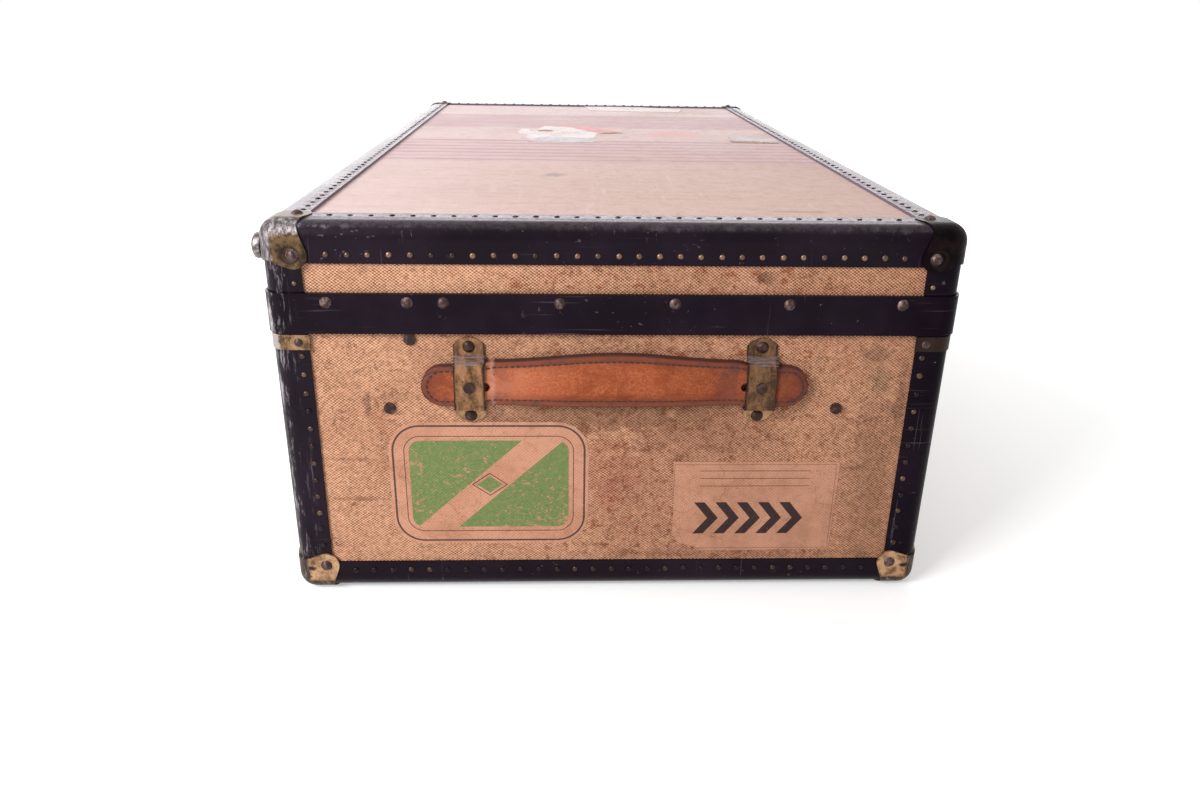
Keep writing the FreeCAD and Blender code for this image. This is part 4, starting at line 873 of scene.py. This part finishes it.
def make_hardware_rivets(material):
    """Small rivets that hold the hinges, the lock, the clasps and the hasp plates."""
    case = Heads(21)
    lid = Heads(22)

    def rivets(heads, face_x, out, place, half_gap, levels, size=RIVET_SIZE):
        """Rivets on both sides of a fitting, at each level."""
        for y in (place - half_gap, place + half_gap):
            for z in levels:
                heads.add((face_x, y, z), out, *size)

    for place in HINGE_PLACES:
        rivets(case, canvas_low.x - LEAF_THICKNESS, TO_HINGES, place, 0.019, (0.197, 0.213))
        rivets(lid, band_low.x - LEAF_THICKNESS, TO_HINGES, place, 0.019, (0.2385, 0.255))
    for place in HASP_PLACES:
        rivets(lid, band_high.x + LEAF_THICKNESS, TO_LOCK, place, 0.0125, (0.2545,))
    catch_face = canvas_high.x + LEAF_THICKNESS
    for place in CLASP_PLACES:
        rivets(case, catch_face, TO_LOCK, place, 0.0145, (0.1885, 0.2195), CATCH_RIVET_SIZE)
    rivets(case, canvas_high.x + LOCK_THICKNESS, TO_LOCK, 0.0, 0.032, (0.171, 0.196, 0.221))
    case.finish("case_hardware_rivets", material, "case")
    lid.finish("lid_hardware_rivets", material, "lid")


# The lifted lobe: its offsets outward from the binding and inward from the corner
LOBE_OUT = 0.0052
LOBE_INSET = 0.0224
LOBE_DROP = 0.0225
LOBE_RIVET_OUT = 0.0041


def make_lifted_lobe(metal, rivet_metal):
    """The side lobe of the near cap on the hinge side, which has lifted with its rivet."""
    foot = Vector((CENTRE_X - HALF_X - LOBE_OUT, -HALF_Y + LOBE_INSET, TOP_Z - LOBE_DROP))
    lobe = Heads(51, 24, LOBE_SHARES)
    lobe.add(foot, TO_HINGES, 0.0105, 0.0044)
    lobe.finish("lifted_lobe", metal, "lid")
    rivet = Heads(52, 18)
    rivet.add(foot + Vector(TO_HINGES) * LOBE_RIVET_OUT, TO_HINGES, 0.0048, 0.0026)
    rivet.finish("lifted_lobe_rivet", rivet_metal, "lid")


# The handle: a strap that is round at both tips, with a padded and stitched grip
HANDLE_Z = 0.190
TIP_X = 0.152
TIP_RADIUS = 0.017
TIP_CENTRE = TIP_X - TIP_RADIUS
TIP_ANGLES = (8, 16, 24, 32, 40, 48, 56, 64, 71, 77, 82, 86, 88.5)
STRAP_THICKNESS = 0.0068
STRAP_CLEARANCE = 0.0005
BACK_SHARES = (1.0, 0.96, 0.5, 0.0, -0.5, -0.96, -1.0)

# The shoulder, where the strap widens, and the grip, which swells and stands off from the end
SHOULDER_X = 0.113
SHOULDER_RUN = 0.020
SHOULDER_RISE = 0.0013
GRIP_REACH = 0.100
GRIP_RUN = 0.07
GRIP_SWELL = 0.0037
GRIP_LIFT = 0.0020
GRIP_CROWN = 0.0075
EDGE_CROWN = 0.0006
MIDDLE_RISE = 0.0026

STITCH_SHARE = 0.74
STITCH_PITCH = 0.0046
STITCH_HALF = 0.0016
STITCH_RADIUS = 0.00065
STITCH_SINK = 0.0006
STITCH_LIFT = 0.0002
# Rings along a stitch: share of its half length, share of its radius
STITCH_SHARES = ((-1.0, 0.25), (-0.8, 0.75), (-0.35, 1.0), (0.35, 1.0), (0.8, 0.75), (1.0, 0.25))
STITCH_SIDES = 6

SLOT_INNER = 0.0985
SLOT_OUTER = 0.126
SLOT_HALF = 0.0038
SLOT_STEPS = 12
SLOT_DEPTHS = (-0.004, 0.02)

# Places along the strap and a depth off the canvas, at which two points of each strap half are found
BLEND_START = 0.108
BLEND_STOP = 0.020
BLEND_DEPTH = 0.004


def strap_at(x):
    """Half height, middle level, back and crown of the strap at a distance from its middle."""
    swell = math.cos(math.pi / 2 * min(x / GRIP_REACH, 1.0)) ** 2
    climb = smooth((SHOULDER_X - x) / SHOULDER_RUN)
    lift = smooth((GRIP_REACH - x) / GRIP_RUN)
    if x > TIP_CENTRE:
        half = math.sqrt(max(TIP_RADIUS**2 - (x - TIP_CENTRE) ** 2, 0.0))
    else:
        half = TIP_RADIUS + SHOULDER_RISE * climb + GRIP_SWELL * swell
    middle = HANDLE_Z + MIDDLE_RISE * climb + MIDDLE_RISE * swell
    return half, middle, STRAP_CLEARANCE + GRIP_LIFT * lift, EDGE_CROWN + GRIP_CROWN * lift


def strap_front(x, across):
    """Depth of the strap's front outward from the canvas, at a share of its half height."""
    _, _, back, crown = strap_at(x)
    side = abs(across)
    pad = smooth((0.80 - side) / 0.5)
    groove = STITCH_SINK * math.exp(-(((side - STITCH_SHARE) / 0.035) ** 2))
    round_off = 0.0016 * max(0.0, (side - 0.93) / 0.07) ** 2
    return back + STRAP_THICKNESS + crown * pad - groove - round_off


def handle_point(end, side, x, depth, z):
    """A point of a handle, in the part's frame. End is -1 at the near end, and side the strap's half."""
    return Vector((CENTRE_X - end * side * x, end * (CANVAS_HALF_Y + depth), z))


def make_strap_half(end, side, leather, thread):
    """Half of a handle's strap with its slot and stitches."""
    word = "near" if end < 0 else "far"
    name = word + "_handle_" + ("left" if side < 0 else "right")
    stations = spread(0.0, TIP_CENTRE, 0.0022)
    stations += [TIP_CENTRE + TIP_RADIUS * math.sin(math.radians(angle)) for angle in TIP_ANGLES]
    shares = [math.sin(math.pi / 2 * (2 * index / 40 - 1)) for index in range(41)]
    points = []
    for x in stations:
        half, middle, back, _ = strap_at(x)
        ring = [(strap_front(x, share), middle + half * share) for share in shares]
        ring += [(back, middle + half * share) for share in BACK_SHARES]
        points += [handle_point(end, side, x, depth, z) for depth, z in ring]
    faces = tube_faces(len(stations), len(shares) + len(BACK_SHARES))
    if side > 0:
        faces = turned(faces)
    piece = mesh_piece(name, points, faces, leather, None)
    cut_slot(piece, end, side)
    set_strap_attributes(piece.data, end, side)
    stitches = make_stitches(name + "_stitches", end, side, thread)
    start = handle_point(end, side, BLEND_START, BLEND_DEPTH, HANDLE_Z)
    stop = handle_point(end, side, BLEND_STOP, BLEND_DEPTH, HANDLE_Z)
    for one in (piece, stitches):
        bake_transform(one)
    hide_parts(word + "_handle_grip", word + "_strap_ends")


def set_strap_attributes(mesh, end, side):
    """Stores where each point lies on the strap, for the leather's look."""
    values = {"rest": [], "across": [], "depth": [], "run": []}
    for vertex in mesh.vertices:
        x = abs(vertex.co.x - CENTRE_X)
        half, middle, back, _ = strap_at(min(x, TIP_X - 0.00001))
        depth = abs(vertex.co.y) - CANVAS_HALF_Y
        if x > TIP_CENTRE:
            out = math.hypot(x - TIP_CENTRE, vertex.co.z - middle) / TIP_RADIUS
        else:
            out = abs(vertex.co.z - middle) / half
        values["rest"] += [x, depth, vertex.co.z + 0.4 * side + 0.9 * end]
        values["across"].append(out)
        values["depth"].append(depth - back)
        values["run"].append(side * x)
    for key, numbers in values.items():
        set_attribute(mesh, key, numbers)


def cut_slot(piece, end, side):
    """Cuts the slot that the bracket's pin runs in."""
    outline = []
    for sign, middle in ((1, SLOT_OUTER - SLOT_HALF), (-1, SLOT_INNER + SLOT_HALF)):
        for index in range(SLOT_STEPS + 1):
            angle = math.pi * index / SLOT_STEPS
            x = middle + sign * SLOT_HALF * math.sin(angle)
            outline.append((x, HANDLE_Z + sign * SLOT_HALF * math.cos(angle)))
    points = [handle_point(end, side, x, depth, z) for depth in SLOT_DEPTHS for x, z in outline]
    faces = tube_faces(len(SLOT_DEPTHS), len(outline))
    if side > 0:
        faces = turned(faces)
    mesh = bpy.data.meshes.new("slot_tool")
    mesh.from_pydata(points, [], faces)
    tool = bpy.data.objects.new("slot_tool", mesh)
    bpy.context.scene.collection.objects.link(tool)
    cut = piece.modifiers.new("slot", "BOOLEAN")
    cut.operation = "DIFFERENCE"
    cut.solver = "EXACT"
    cut.object = tool
    graph = bpy.context.evaluated_depsgraph_get()
    result = bpy.data.meshes.new_from_object(piece.evaluated_get(graph))
    piece.modifiers.clear()
    piece.data = result
    bpy.data.objects.remove(tool)


def make_stitches(name, end, side, thread):
    """Thread dashes along the strap's border and round its tip."""
    upper = []
    lower = []
    for x in spread(0.0, TIP_CENTRE, 0.001):
        half, middle, _, _ = strap_at(x)
        depth = strap_front(x, STITCH_SHARE)
        upper.append((x, middle + STITCH_SHARE * half, depth))
        lower.append((x, middle - STITCH_SHARE * half, depth))
    arc = []
    for step in range(1, 60):
        angle = math.pi * step / 60
        x = TIP_CENTRE + STITCH_SHARE * TIP_RADIUS * math.sin(angle)
        rise = STITCH_SHARE * TIP_RADIUS * math.cos(angle)
        arc.append((x, HANDLE_Z + rise, strap_front(x, rise / strap_at(x)[0])))
    trail = [handle_point(end, side, x, depth, z) for x, z, depth in upper + arc + lower[::-1]]
    lengths = [0.0]
    for a, b in zip(trail, trail[1:]):
        lengths.append(lengths[-1] + (b - a).length)

    def at(length):
        for index in range(1, len(trail)):
            if lengths[index] >= length:
                step = max(lengths[index] - lengths[index - 1], 1e-9)
                return trail[index - 1].lerp(trail[index], (length - lengths[index - 1]) / step)
        return trail[-1]

    out = Vector((0, end, 0))
    points = []
    faces = []
    count = int(lengths[-1] / STITCH_PITCH)
    for stitch in range(count):
        middle = (stitch + 0.5) * lengths[-1] / count
        centre = at(middle) + out * STITCH_LIFT
        run = (at(middle + 0.001) - at(middle - 0.001)).normalized()
        other = run.cross(out).normalized()
        base = len(points)
        for level, girth in STITCH_SHARES:
            for index in range(STITCH_SIDES):
                angle = 2 * math.pi * index / STITCH_SIDES
                around = (other * math.cos(angle) + out * math.sin(angle)) * (STITCH_RADIUS * girth)
                points.append(centre + run * (STITCH_HALF * level) + around)
        faces += turned(tube_faces(len(STITCH_SHARES), STITCH_SIDES, base))
    piece = mesh_piece(name, points, faces, thread, None)
    set_attribute(piece.data, "rest", [value for vertex in piece.data.vertices for value in vertex.co])
    return piece


def torn_outline(corners, step, jitter, seed):
    """A closed outline through the corners, roughened by seeded steps."""
    draw = random.Random(seed)
    outline = []
    for (x0, y0), (x1, y1) in zip(corners, corners[1:] + corners[:1]):
        length = math.hypot(x1 - x0, y1 - y0)
        count = max(1, round(length / step))
        for index in range(count):
            share = index / count
            away = draw.uniform(-jitter, jitter)
            x = x0 + (x1 - x0) * share + (y1 - y0) / length * away
            y = y0 + (y1 - y0) * share - (x1 - x0) / length * away
            outline.append((x, y))
    return outline


def make_paper(name, outline, place, outward, thickness, material, body):
    """A flat piece of paper with its own thickness, glued on a face."""
    points = []
    for level in (-0.00005, thickness):
        points += [Vector(place(u, v)) + Vector(outward) * level for u, v in outline]
    count = len(outline)
    faces = tube_faces(2, count)
    normal = Vector((0, 0, 0))
    for index in range(count):
        normal += (points[index] - points[0]).cross(points[(index + 1) % count] - points[0])
    if normal.dot(Vector(outward)) < 0:
        faces = turned(faces)
    mesh_piece(name, points, faces, material, body, flat=True)


def rounded_box(centre, half, radius, steps=8):
    outline = []
    for sx, sy, start in ((1, 1, 0), (-1, 1, 90), (-1, -1, 180), (1, -1, 270)):
        cx = centre[0] + sx * (half[0] - radius)
        cy = centre[1] + sy * (half[1] - radius)
        for step in range(steps + 1):
            angle = math.radians(start + 90 * step / steps)
            outline.append((cx + radius * math.cos(angle), cy + radius * math.sin(angle)))
    return outline


LABEL_THICKNESS = 0.0002

# Corners of the slip from its own corners: which side, and how far in, in x and then in z
SLIP_CORNERS = (
    (-1, 0.002, 1, 0.0), (1, 0.0, 1, 0.001), (1, 0.002, -1, 0.002), (-1, 0.030, -1, 0.0),
    (-1, 0.020, -1, 0.006), (-1, 0.009, -1, 0.009), (-1, 0.004, -1, 0.016),
)

# Papers of the scraps: light and shaded colour
SCRAP_PAPERS = {
    "white": ((0.84, 0.77, 0.76), (0.70, 0.60, 0.58)),
    "grey": ((0.66, 0.61, 0.64), (0.48, 0.43, 0.46)),
    "pink": ((0.80, 0.38, 0.40), (0.70, 0.36, 0.36)),
    "brown": ((0.42, 0.26, 0.17), (0.30, 0.17, 0.11)),
}

# Scraps on the lid's top, and a painted shadow beside the tape: name, paper, thickness, corners in x and y
SCRAPS = (
    ("white_scrap", "white", 0.0003, [
        (-0.088, 0.020), (-0.040, 0.008), (-0.002, 0.030), (0.004, 0.086), (-0.030, 0.150),
        (-0.066, 0.164), (-0.076, 0.130), (-0.098, 0.128), (-0.102, 0.084), (-0.086, 0.062)]),
    ("grey_scrap", "grey", 0.0005, [
        (-0.084, -0.006), (-0.030, -0.014), (0.006, -0.006), (-0.006, 0.020),
        (-0.040, 0.044), (-0.072, 0.034)]),
    ("brown_scrap", "brown", 0.0004, [
        (-0.074, 0.098), (-0.056, 0.100), (-0.053, 0.112), (-0.064, 0.118), (-0.074, 0.112)]),
    ("brown_scrap_right", "brown", 0.0004, [
        (0.006, 0.080), (0.026, 0.082), (0.036, 0.092), (0.028, 0.100), (0.010, 0.092)]),
    ("pink_scrap", "pink", 0.00025, [
        (-0.034, 0.128), (0.004, 0.106), (0.034, 0.098), (0.024, 0.128), (-0.010, 0.160), (-0.050, 0.176)]),
    ("far_scrap", "white", 0.0008, [
        (0.004, 0.398), (0.08, 0.386), (0.148, 0.390), (0.158, 0.440), (0.07, 0.468), (-0.004, 0.462)]),
    ("tape_scrap", "grey", 0.0011, [
        (0.170, 0.018), (0.2285, 0.006), (0.2285, 0.040), (0.172, 0.052)]),
    # A painted shadow: a thin dark sheet of brown paper along the tape's near edge
    ("tape_shadow", "brown", 0.0004, [
        (0.169, 0.006), (0.200, 0.002), (0.227, 0.000), (0.227, 0.008), (0.200, 0.012), (0.170, 0.020)]),
)


def make_papers():
    """A green sticker and a ruled slip on the near end, and torn scraps of old paper on the lid."""

    def on_near(u, v):
        return (CENTRE_X + u, -CANVAS_HALF_Y, v)

    def on_lid(u, v):
        return (CENTRE_X + u, v, LID_FACE_Z)

    outline = torn_outline(rounded_box(GREEN_CENTRE, GREEN_HALF, GREEN_CORNER), 0.004, 0.0002, 31)
    make_paper("green_sticker", outline, on_near, NEAR, LABEL_THICKNESS, green_label_look(), "case")
    corners = []
    for side_x, in_x, side_z, in_z in SLIP_CORNERS:
        x = SLIP_CENTRE[0] + side_x * (SLIP_HALF[0] - in_x)
        corners.append((x, SLIP_CENTRE[1] + side_z * (SLIP_HALF[1] - in_z)))
    outline = torn_outline(corners, 0.003, 0.0005, 37)
    make_paper("ruled_slip", outline, on_near, NEAR, LABEL_THICKNESS, slip_label_look(), "case")
    papers = {key: scrap_look(key + "_scrap_paper", *tones) for key, tones in SCRAP_PAPERS.items()}
    for index, (name, paper, thickness, corners) in enumerate(SCRAPS):
        outline = torn_outline(corners, 0.0035, 0.0018, 41 + index)
        make_paper(name, outline, on_lid, UP, thickness, papers[paper], "lid")


# The swells of the top bindings' flat legs: from where to where inward, their rise and their foot
SWELL_START = EDGE_RADIUS + 0.0005
SWELL_STOP = 0.0309
SWELL_GAP = 0.0005
SWELL_ROWS = 9
SWELL_RISE = 0.0008
SWELL_FOOT = 0.0004


def make_binding_swells(material):
    """The flat legs of the top bindings, which bulge up between their tacks."""

    def height(along, tacks, share):
        nearest = min(abs(along - tack) for tack in tacks)
        dip = math.exp(-((nearest / 0.0036) ** 2))
        side = math.exp(-(((share - 0.66) / 0.32) ** 2))
        lip = 0.55 + 0.45 * share
        return SWELL_RISE * (1 - 0.9 * dip * side) * lip * smooth(share / 0.25)

    sides = (
        ("near", END_ROW, HALF_X, lambda along, inset: (CENTRE_X + along, inset - HALF_Y)),
        ("far", END_ROW, HALF_X, lambda along, inset: (CENTRE_X - along, HALF_Y - inset)),
        ("lock", SIDE_ROW, HALF_Y, lambda along, inset: (CENTRE_X + HALF_X - inset, along)),
        ("hinge", SIDE_ROW, HALF_Y, lambda along, inset: (CENTRE_X - HALF_X + inset, -along)),
    )
    for name, tacks, half, place in sides:
        reach = half - SWELL_STOP - SWELL_GAP
        stations = spread(-reach, reach, 0.0018)
        points = []
        for along in stations:
            for row in range(SWELL_ROWS + 1):
                share = row / SWELL_ROWS
                inset = SWELL_START + (SWELL_STOP - SWELL_START) * share
                points.append((*place(along, inset), TOP_Z + height(along, tacks, share)))
            for inset in (SWELL_STOP, SWELL_START):
                points.append((*place(along, inset), TOP_Z - SWELL_FOOT))
        # Each face is turned outward about its first point
        faces = [(face[0], *face[:0:-1]) for face in tube_faces(len(stations), SWELL_ROWS + 3)]
        mesh_piece(name + "_binding_swell", points, faces, material, "lid")


def dress_nodes(looks):
    """Gives each CAD node that stays in view its own procedural material."""
    for look, names in looks:
        for name in names:
            nodes[name].data.materials.clear()
            nodes[name].data.materials.append(look)


CAMERA_PLACE = (-0.04477, -1.17924, 0.45938)
CAMERA_DEGREES = (2.550, 22.496, 1.029)
SENSOR_MM = 36.0
LENS_MM = 27.8814


def make_camera():
    """The photograph's viewpoint: in front of the near end, a little left of its middle and above."""
    yaw, pitch, roll = (math.radians(angle) for angle in CAMERA_DEGREES)
    flat = math.cos(pitch)
    forward = Vector((math.sin(yaw) * flat, math.cos(yaw) * flat, -math.sin(pitch)))
    level = forward.cross(Vector(UP)).normalized()
    raised = level.cross(forward)
    right = level * math.cos(roll) + raised * math.sin(roll)
    up = raised * math.cos(roll) - level * math.sin(roll)
    data = bpy.data.cameras.new("camera")
    data.sensor_width = SENSOR_MM
    data.lens = LENS_MM
    data.clip_start = 0.05
    data.clip_end = 100.0
    camera = bpy.data.objects.new("camera", data)
    bpy.context.scene.collection.objects.link(camera)
    columns = Matrix((right, up, -forward)).transposed()
    camera.matrix_world = Matrix.Translation(Vector(CAMERA_PLACE)) @ columns.to_4x4()
    bpy.context.scene.camera = camera


# Lamps: name, place, target, size, power in watts
LAMPS = (
    ("key", (-1.2, -1.45, 1.1), (-0.1, -0.45, 0.15), (0.7, 0.7), 31),
    ("overhead", (-0.5, 0.1, 2.4), (0.0, 0.0, 0.3), (2.2, 2.2), 16),
    ("back", (-0.3, 2.8, 1.35), (0.0, 0.0, 0.3), (4.6, 2.0), 100),
)


def add_lamp(name, place, target, size, power):
    data = bpy.data.lights.new(name, "AREA")
    data.shape = "RECTANGLE"
    data.size, data.size_y = size
    data.energy = power
    lamp = bpy.data.objects.new(name, data)
    lamp.location = place
    aim = Vector(target) - Vector(place)
    lamp.rotation_euler = aim.to_track_quat("-Z", "Y").to_euler()
    bpy.context.scene.collection.objects.link(lamp)


FLOOR_REACH = 14.0
FLOOR_Z = -0.0003
FLOOR_STEPS = 8
WORLD_LIGHT = 0.31


def make_stage():
    """White surroundings, a pale floor that keeps the shadow, and soft lamps."""
    world = bpy.data.worlds.new("studio")
    bpy.context.scene.world = world
    world.use_nodes = True
    graph = Graph(world.node_tree)
    background = world.node_tree.nodes["Background"]
    graph.feed(background.inputs["Color"], (1, 1, 1))
    strength = graph.field("MapRange", {"Value": graph.seen(), "To Min": WORLD_LIGHT, "To Max": 1.0})
    graph.feed(background.inputs["Strength"], strength)

    mesh = bpy.data.meshes.new("floor")
    places = [FLOOR_REACH * (2 * step / FLOOR_STEPS - 1) for step in range(FLOOR_STEPS + 1)]
    points = [(x, y, FLOOR_Z) for y in places for x in places]
    faces = []
    for row in range(FLOOR_STEPS):
        for column in range(FLOOR_STEPS):
            a = row * (FLOOR_STEPS + 1) + column
            faces.append((a, a + 1, a + FLOOR_STEPS + 2, a + FLOOR_STEPS + 1))
    mesh.from_pydata(points, [], faces)
    floor = bpy.data.objects.new("floor", mesh)
    bpy.context.scene.collection.objects.link(floor)
    look = Look("pale_floor", {"Roughness": 0.9, "Specular IOR Level": 0.1})
    x, y, _ = look.split(look.place)
    look.set("Base Color", (0.86, 0.86, 0.86))
    look.set("Emission Color", (1, 1, 1))
    look.set("Emission Strength", look.seen() * span(x, y).ease(0.5, 2.2, 0.36, 0.74))
    mesh.materials.append(look.material)
    for lamp in LAMPS:
        add_lamp(*lamp)


make_camera()
make_stage()
canvas = canvas_look()
fibre = fibre_look("black_fibre_sheet", (0.36, 0.32, 0.35), 0.12, 0.16)
swollen_fibre = fibre_look("swollen_fibre_sheet", (0.36, 0.32, 0.35), 0.06, 0.6)
enamel = fibre_look("black_enamel_steel", (0.42, 0.39, 0.40), 0.09, 0.0)
cap = cap_look()
bracket = brass_look("bracket_brass", (0.088, 0.042, 0.022), (0.36, 0.186, 0.088), 0.42, BRACKET_X)
fitting = brass_look("fitting_brass", (0.11, 0.06, 0.028), (0.42, 0.26, 0.12), 0.0)
clip = brass_look("clip_brass", (0.07, 0.035, 0.018), (0.36, 0.215, 0.11), 0.96)
dark_rivet = rivet_look("browned_rivet", (0.032, 0.0155, 0.0135), (0.105, 0.057, 0.047))
band_rivet = rivet_look("band_rivet_metal", (0.045, 0.025, 0.024), (0.20, 0.135, 0.125))
lobe_metal = rivet_look("rubbed_lobe_metal", (0.09, 0.07, 0.07), (0.36, 0.33, 0.33))
steel = steel_look()
plywood = plywood_look()
lining = lining_look()
leather = leather_look()
thread = thread_look()
tack = tack_look()
both_ends = ("near", "far")
stay_parts = ("lower_arm", "upper_arm", "elbow_pin")
bindings = ["bottom_bindings", "case_corner_bindings", "lid_top_bindings", "lid_corner_bindings"]
dress_nodes([
    (canvas, ["case_canvas", "lid_canvas"]),
    (fibre, bindings + ["band_packing"]),
    (enamel, ["lid_band", "hinge_case_leaves", "hinge_lid_leaves"]),
    (cap, ["top_corner_caps", "bottom_corner_caps"]),
    (clip, ["corner_clips"]),
    (bracket, [end + "_handle_brackets" for end in both_ends]),
    (fitting, ["lock_case", "lock_key_plug", "clasp_catches", "hasp_plates", "lock_hasp"]),
    (fitting, [end + "_clasp" for end in both_ends]),
    (dark_rivet, ["clinch_rivets"]),
    (dark_rivet, [end + word for end in both_ends for word in ("_bracket_rivets", "_strap_pins")]),
    (band_rivet, ["band_rivets", "clip_rivets", "bottom_cap_rivets", "top_cap_rivets"]),
    (steel, ["hinge_pins", "hasp_pins", "lock_bolt", "stay_case_plates", "stay_lid_plates"]),
    (steel, [end + "_stay_" + word for end in both_ends for word in stay_parts]),
    (plywood, ["floor_panel", "lid_top_panel"] + [end + "_end_panel" for end in both_ends]),
    (plywood, [side + "_side_panel" for side in ("lock", "hinge")]),
    (plywood, ["lid_" + side + "_rail" for side in ("lock", "hinge", "near", "far")]),
    (lining, ["case_lining", "lid_lining"]),
])
make_tacks(tack)
make_hardware_rivets(dark_rivet)
make_binding_swells(swollen_fibre)
make_papers()
make_lifted_lobe(lobe_metal, band_rivet)
for end in (-1, 1):
    for side in (-1, 1):
        make_strap_half(end, side, leather, thread)

bpy.context.scene.view_settings.view_transform = "Standard"
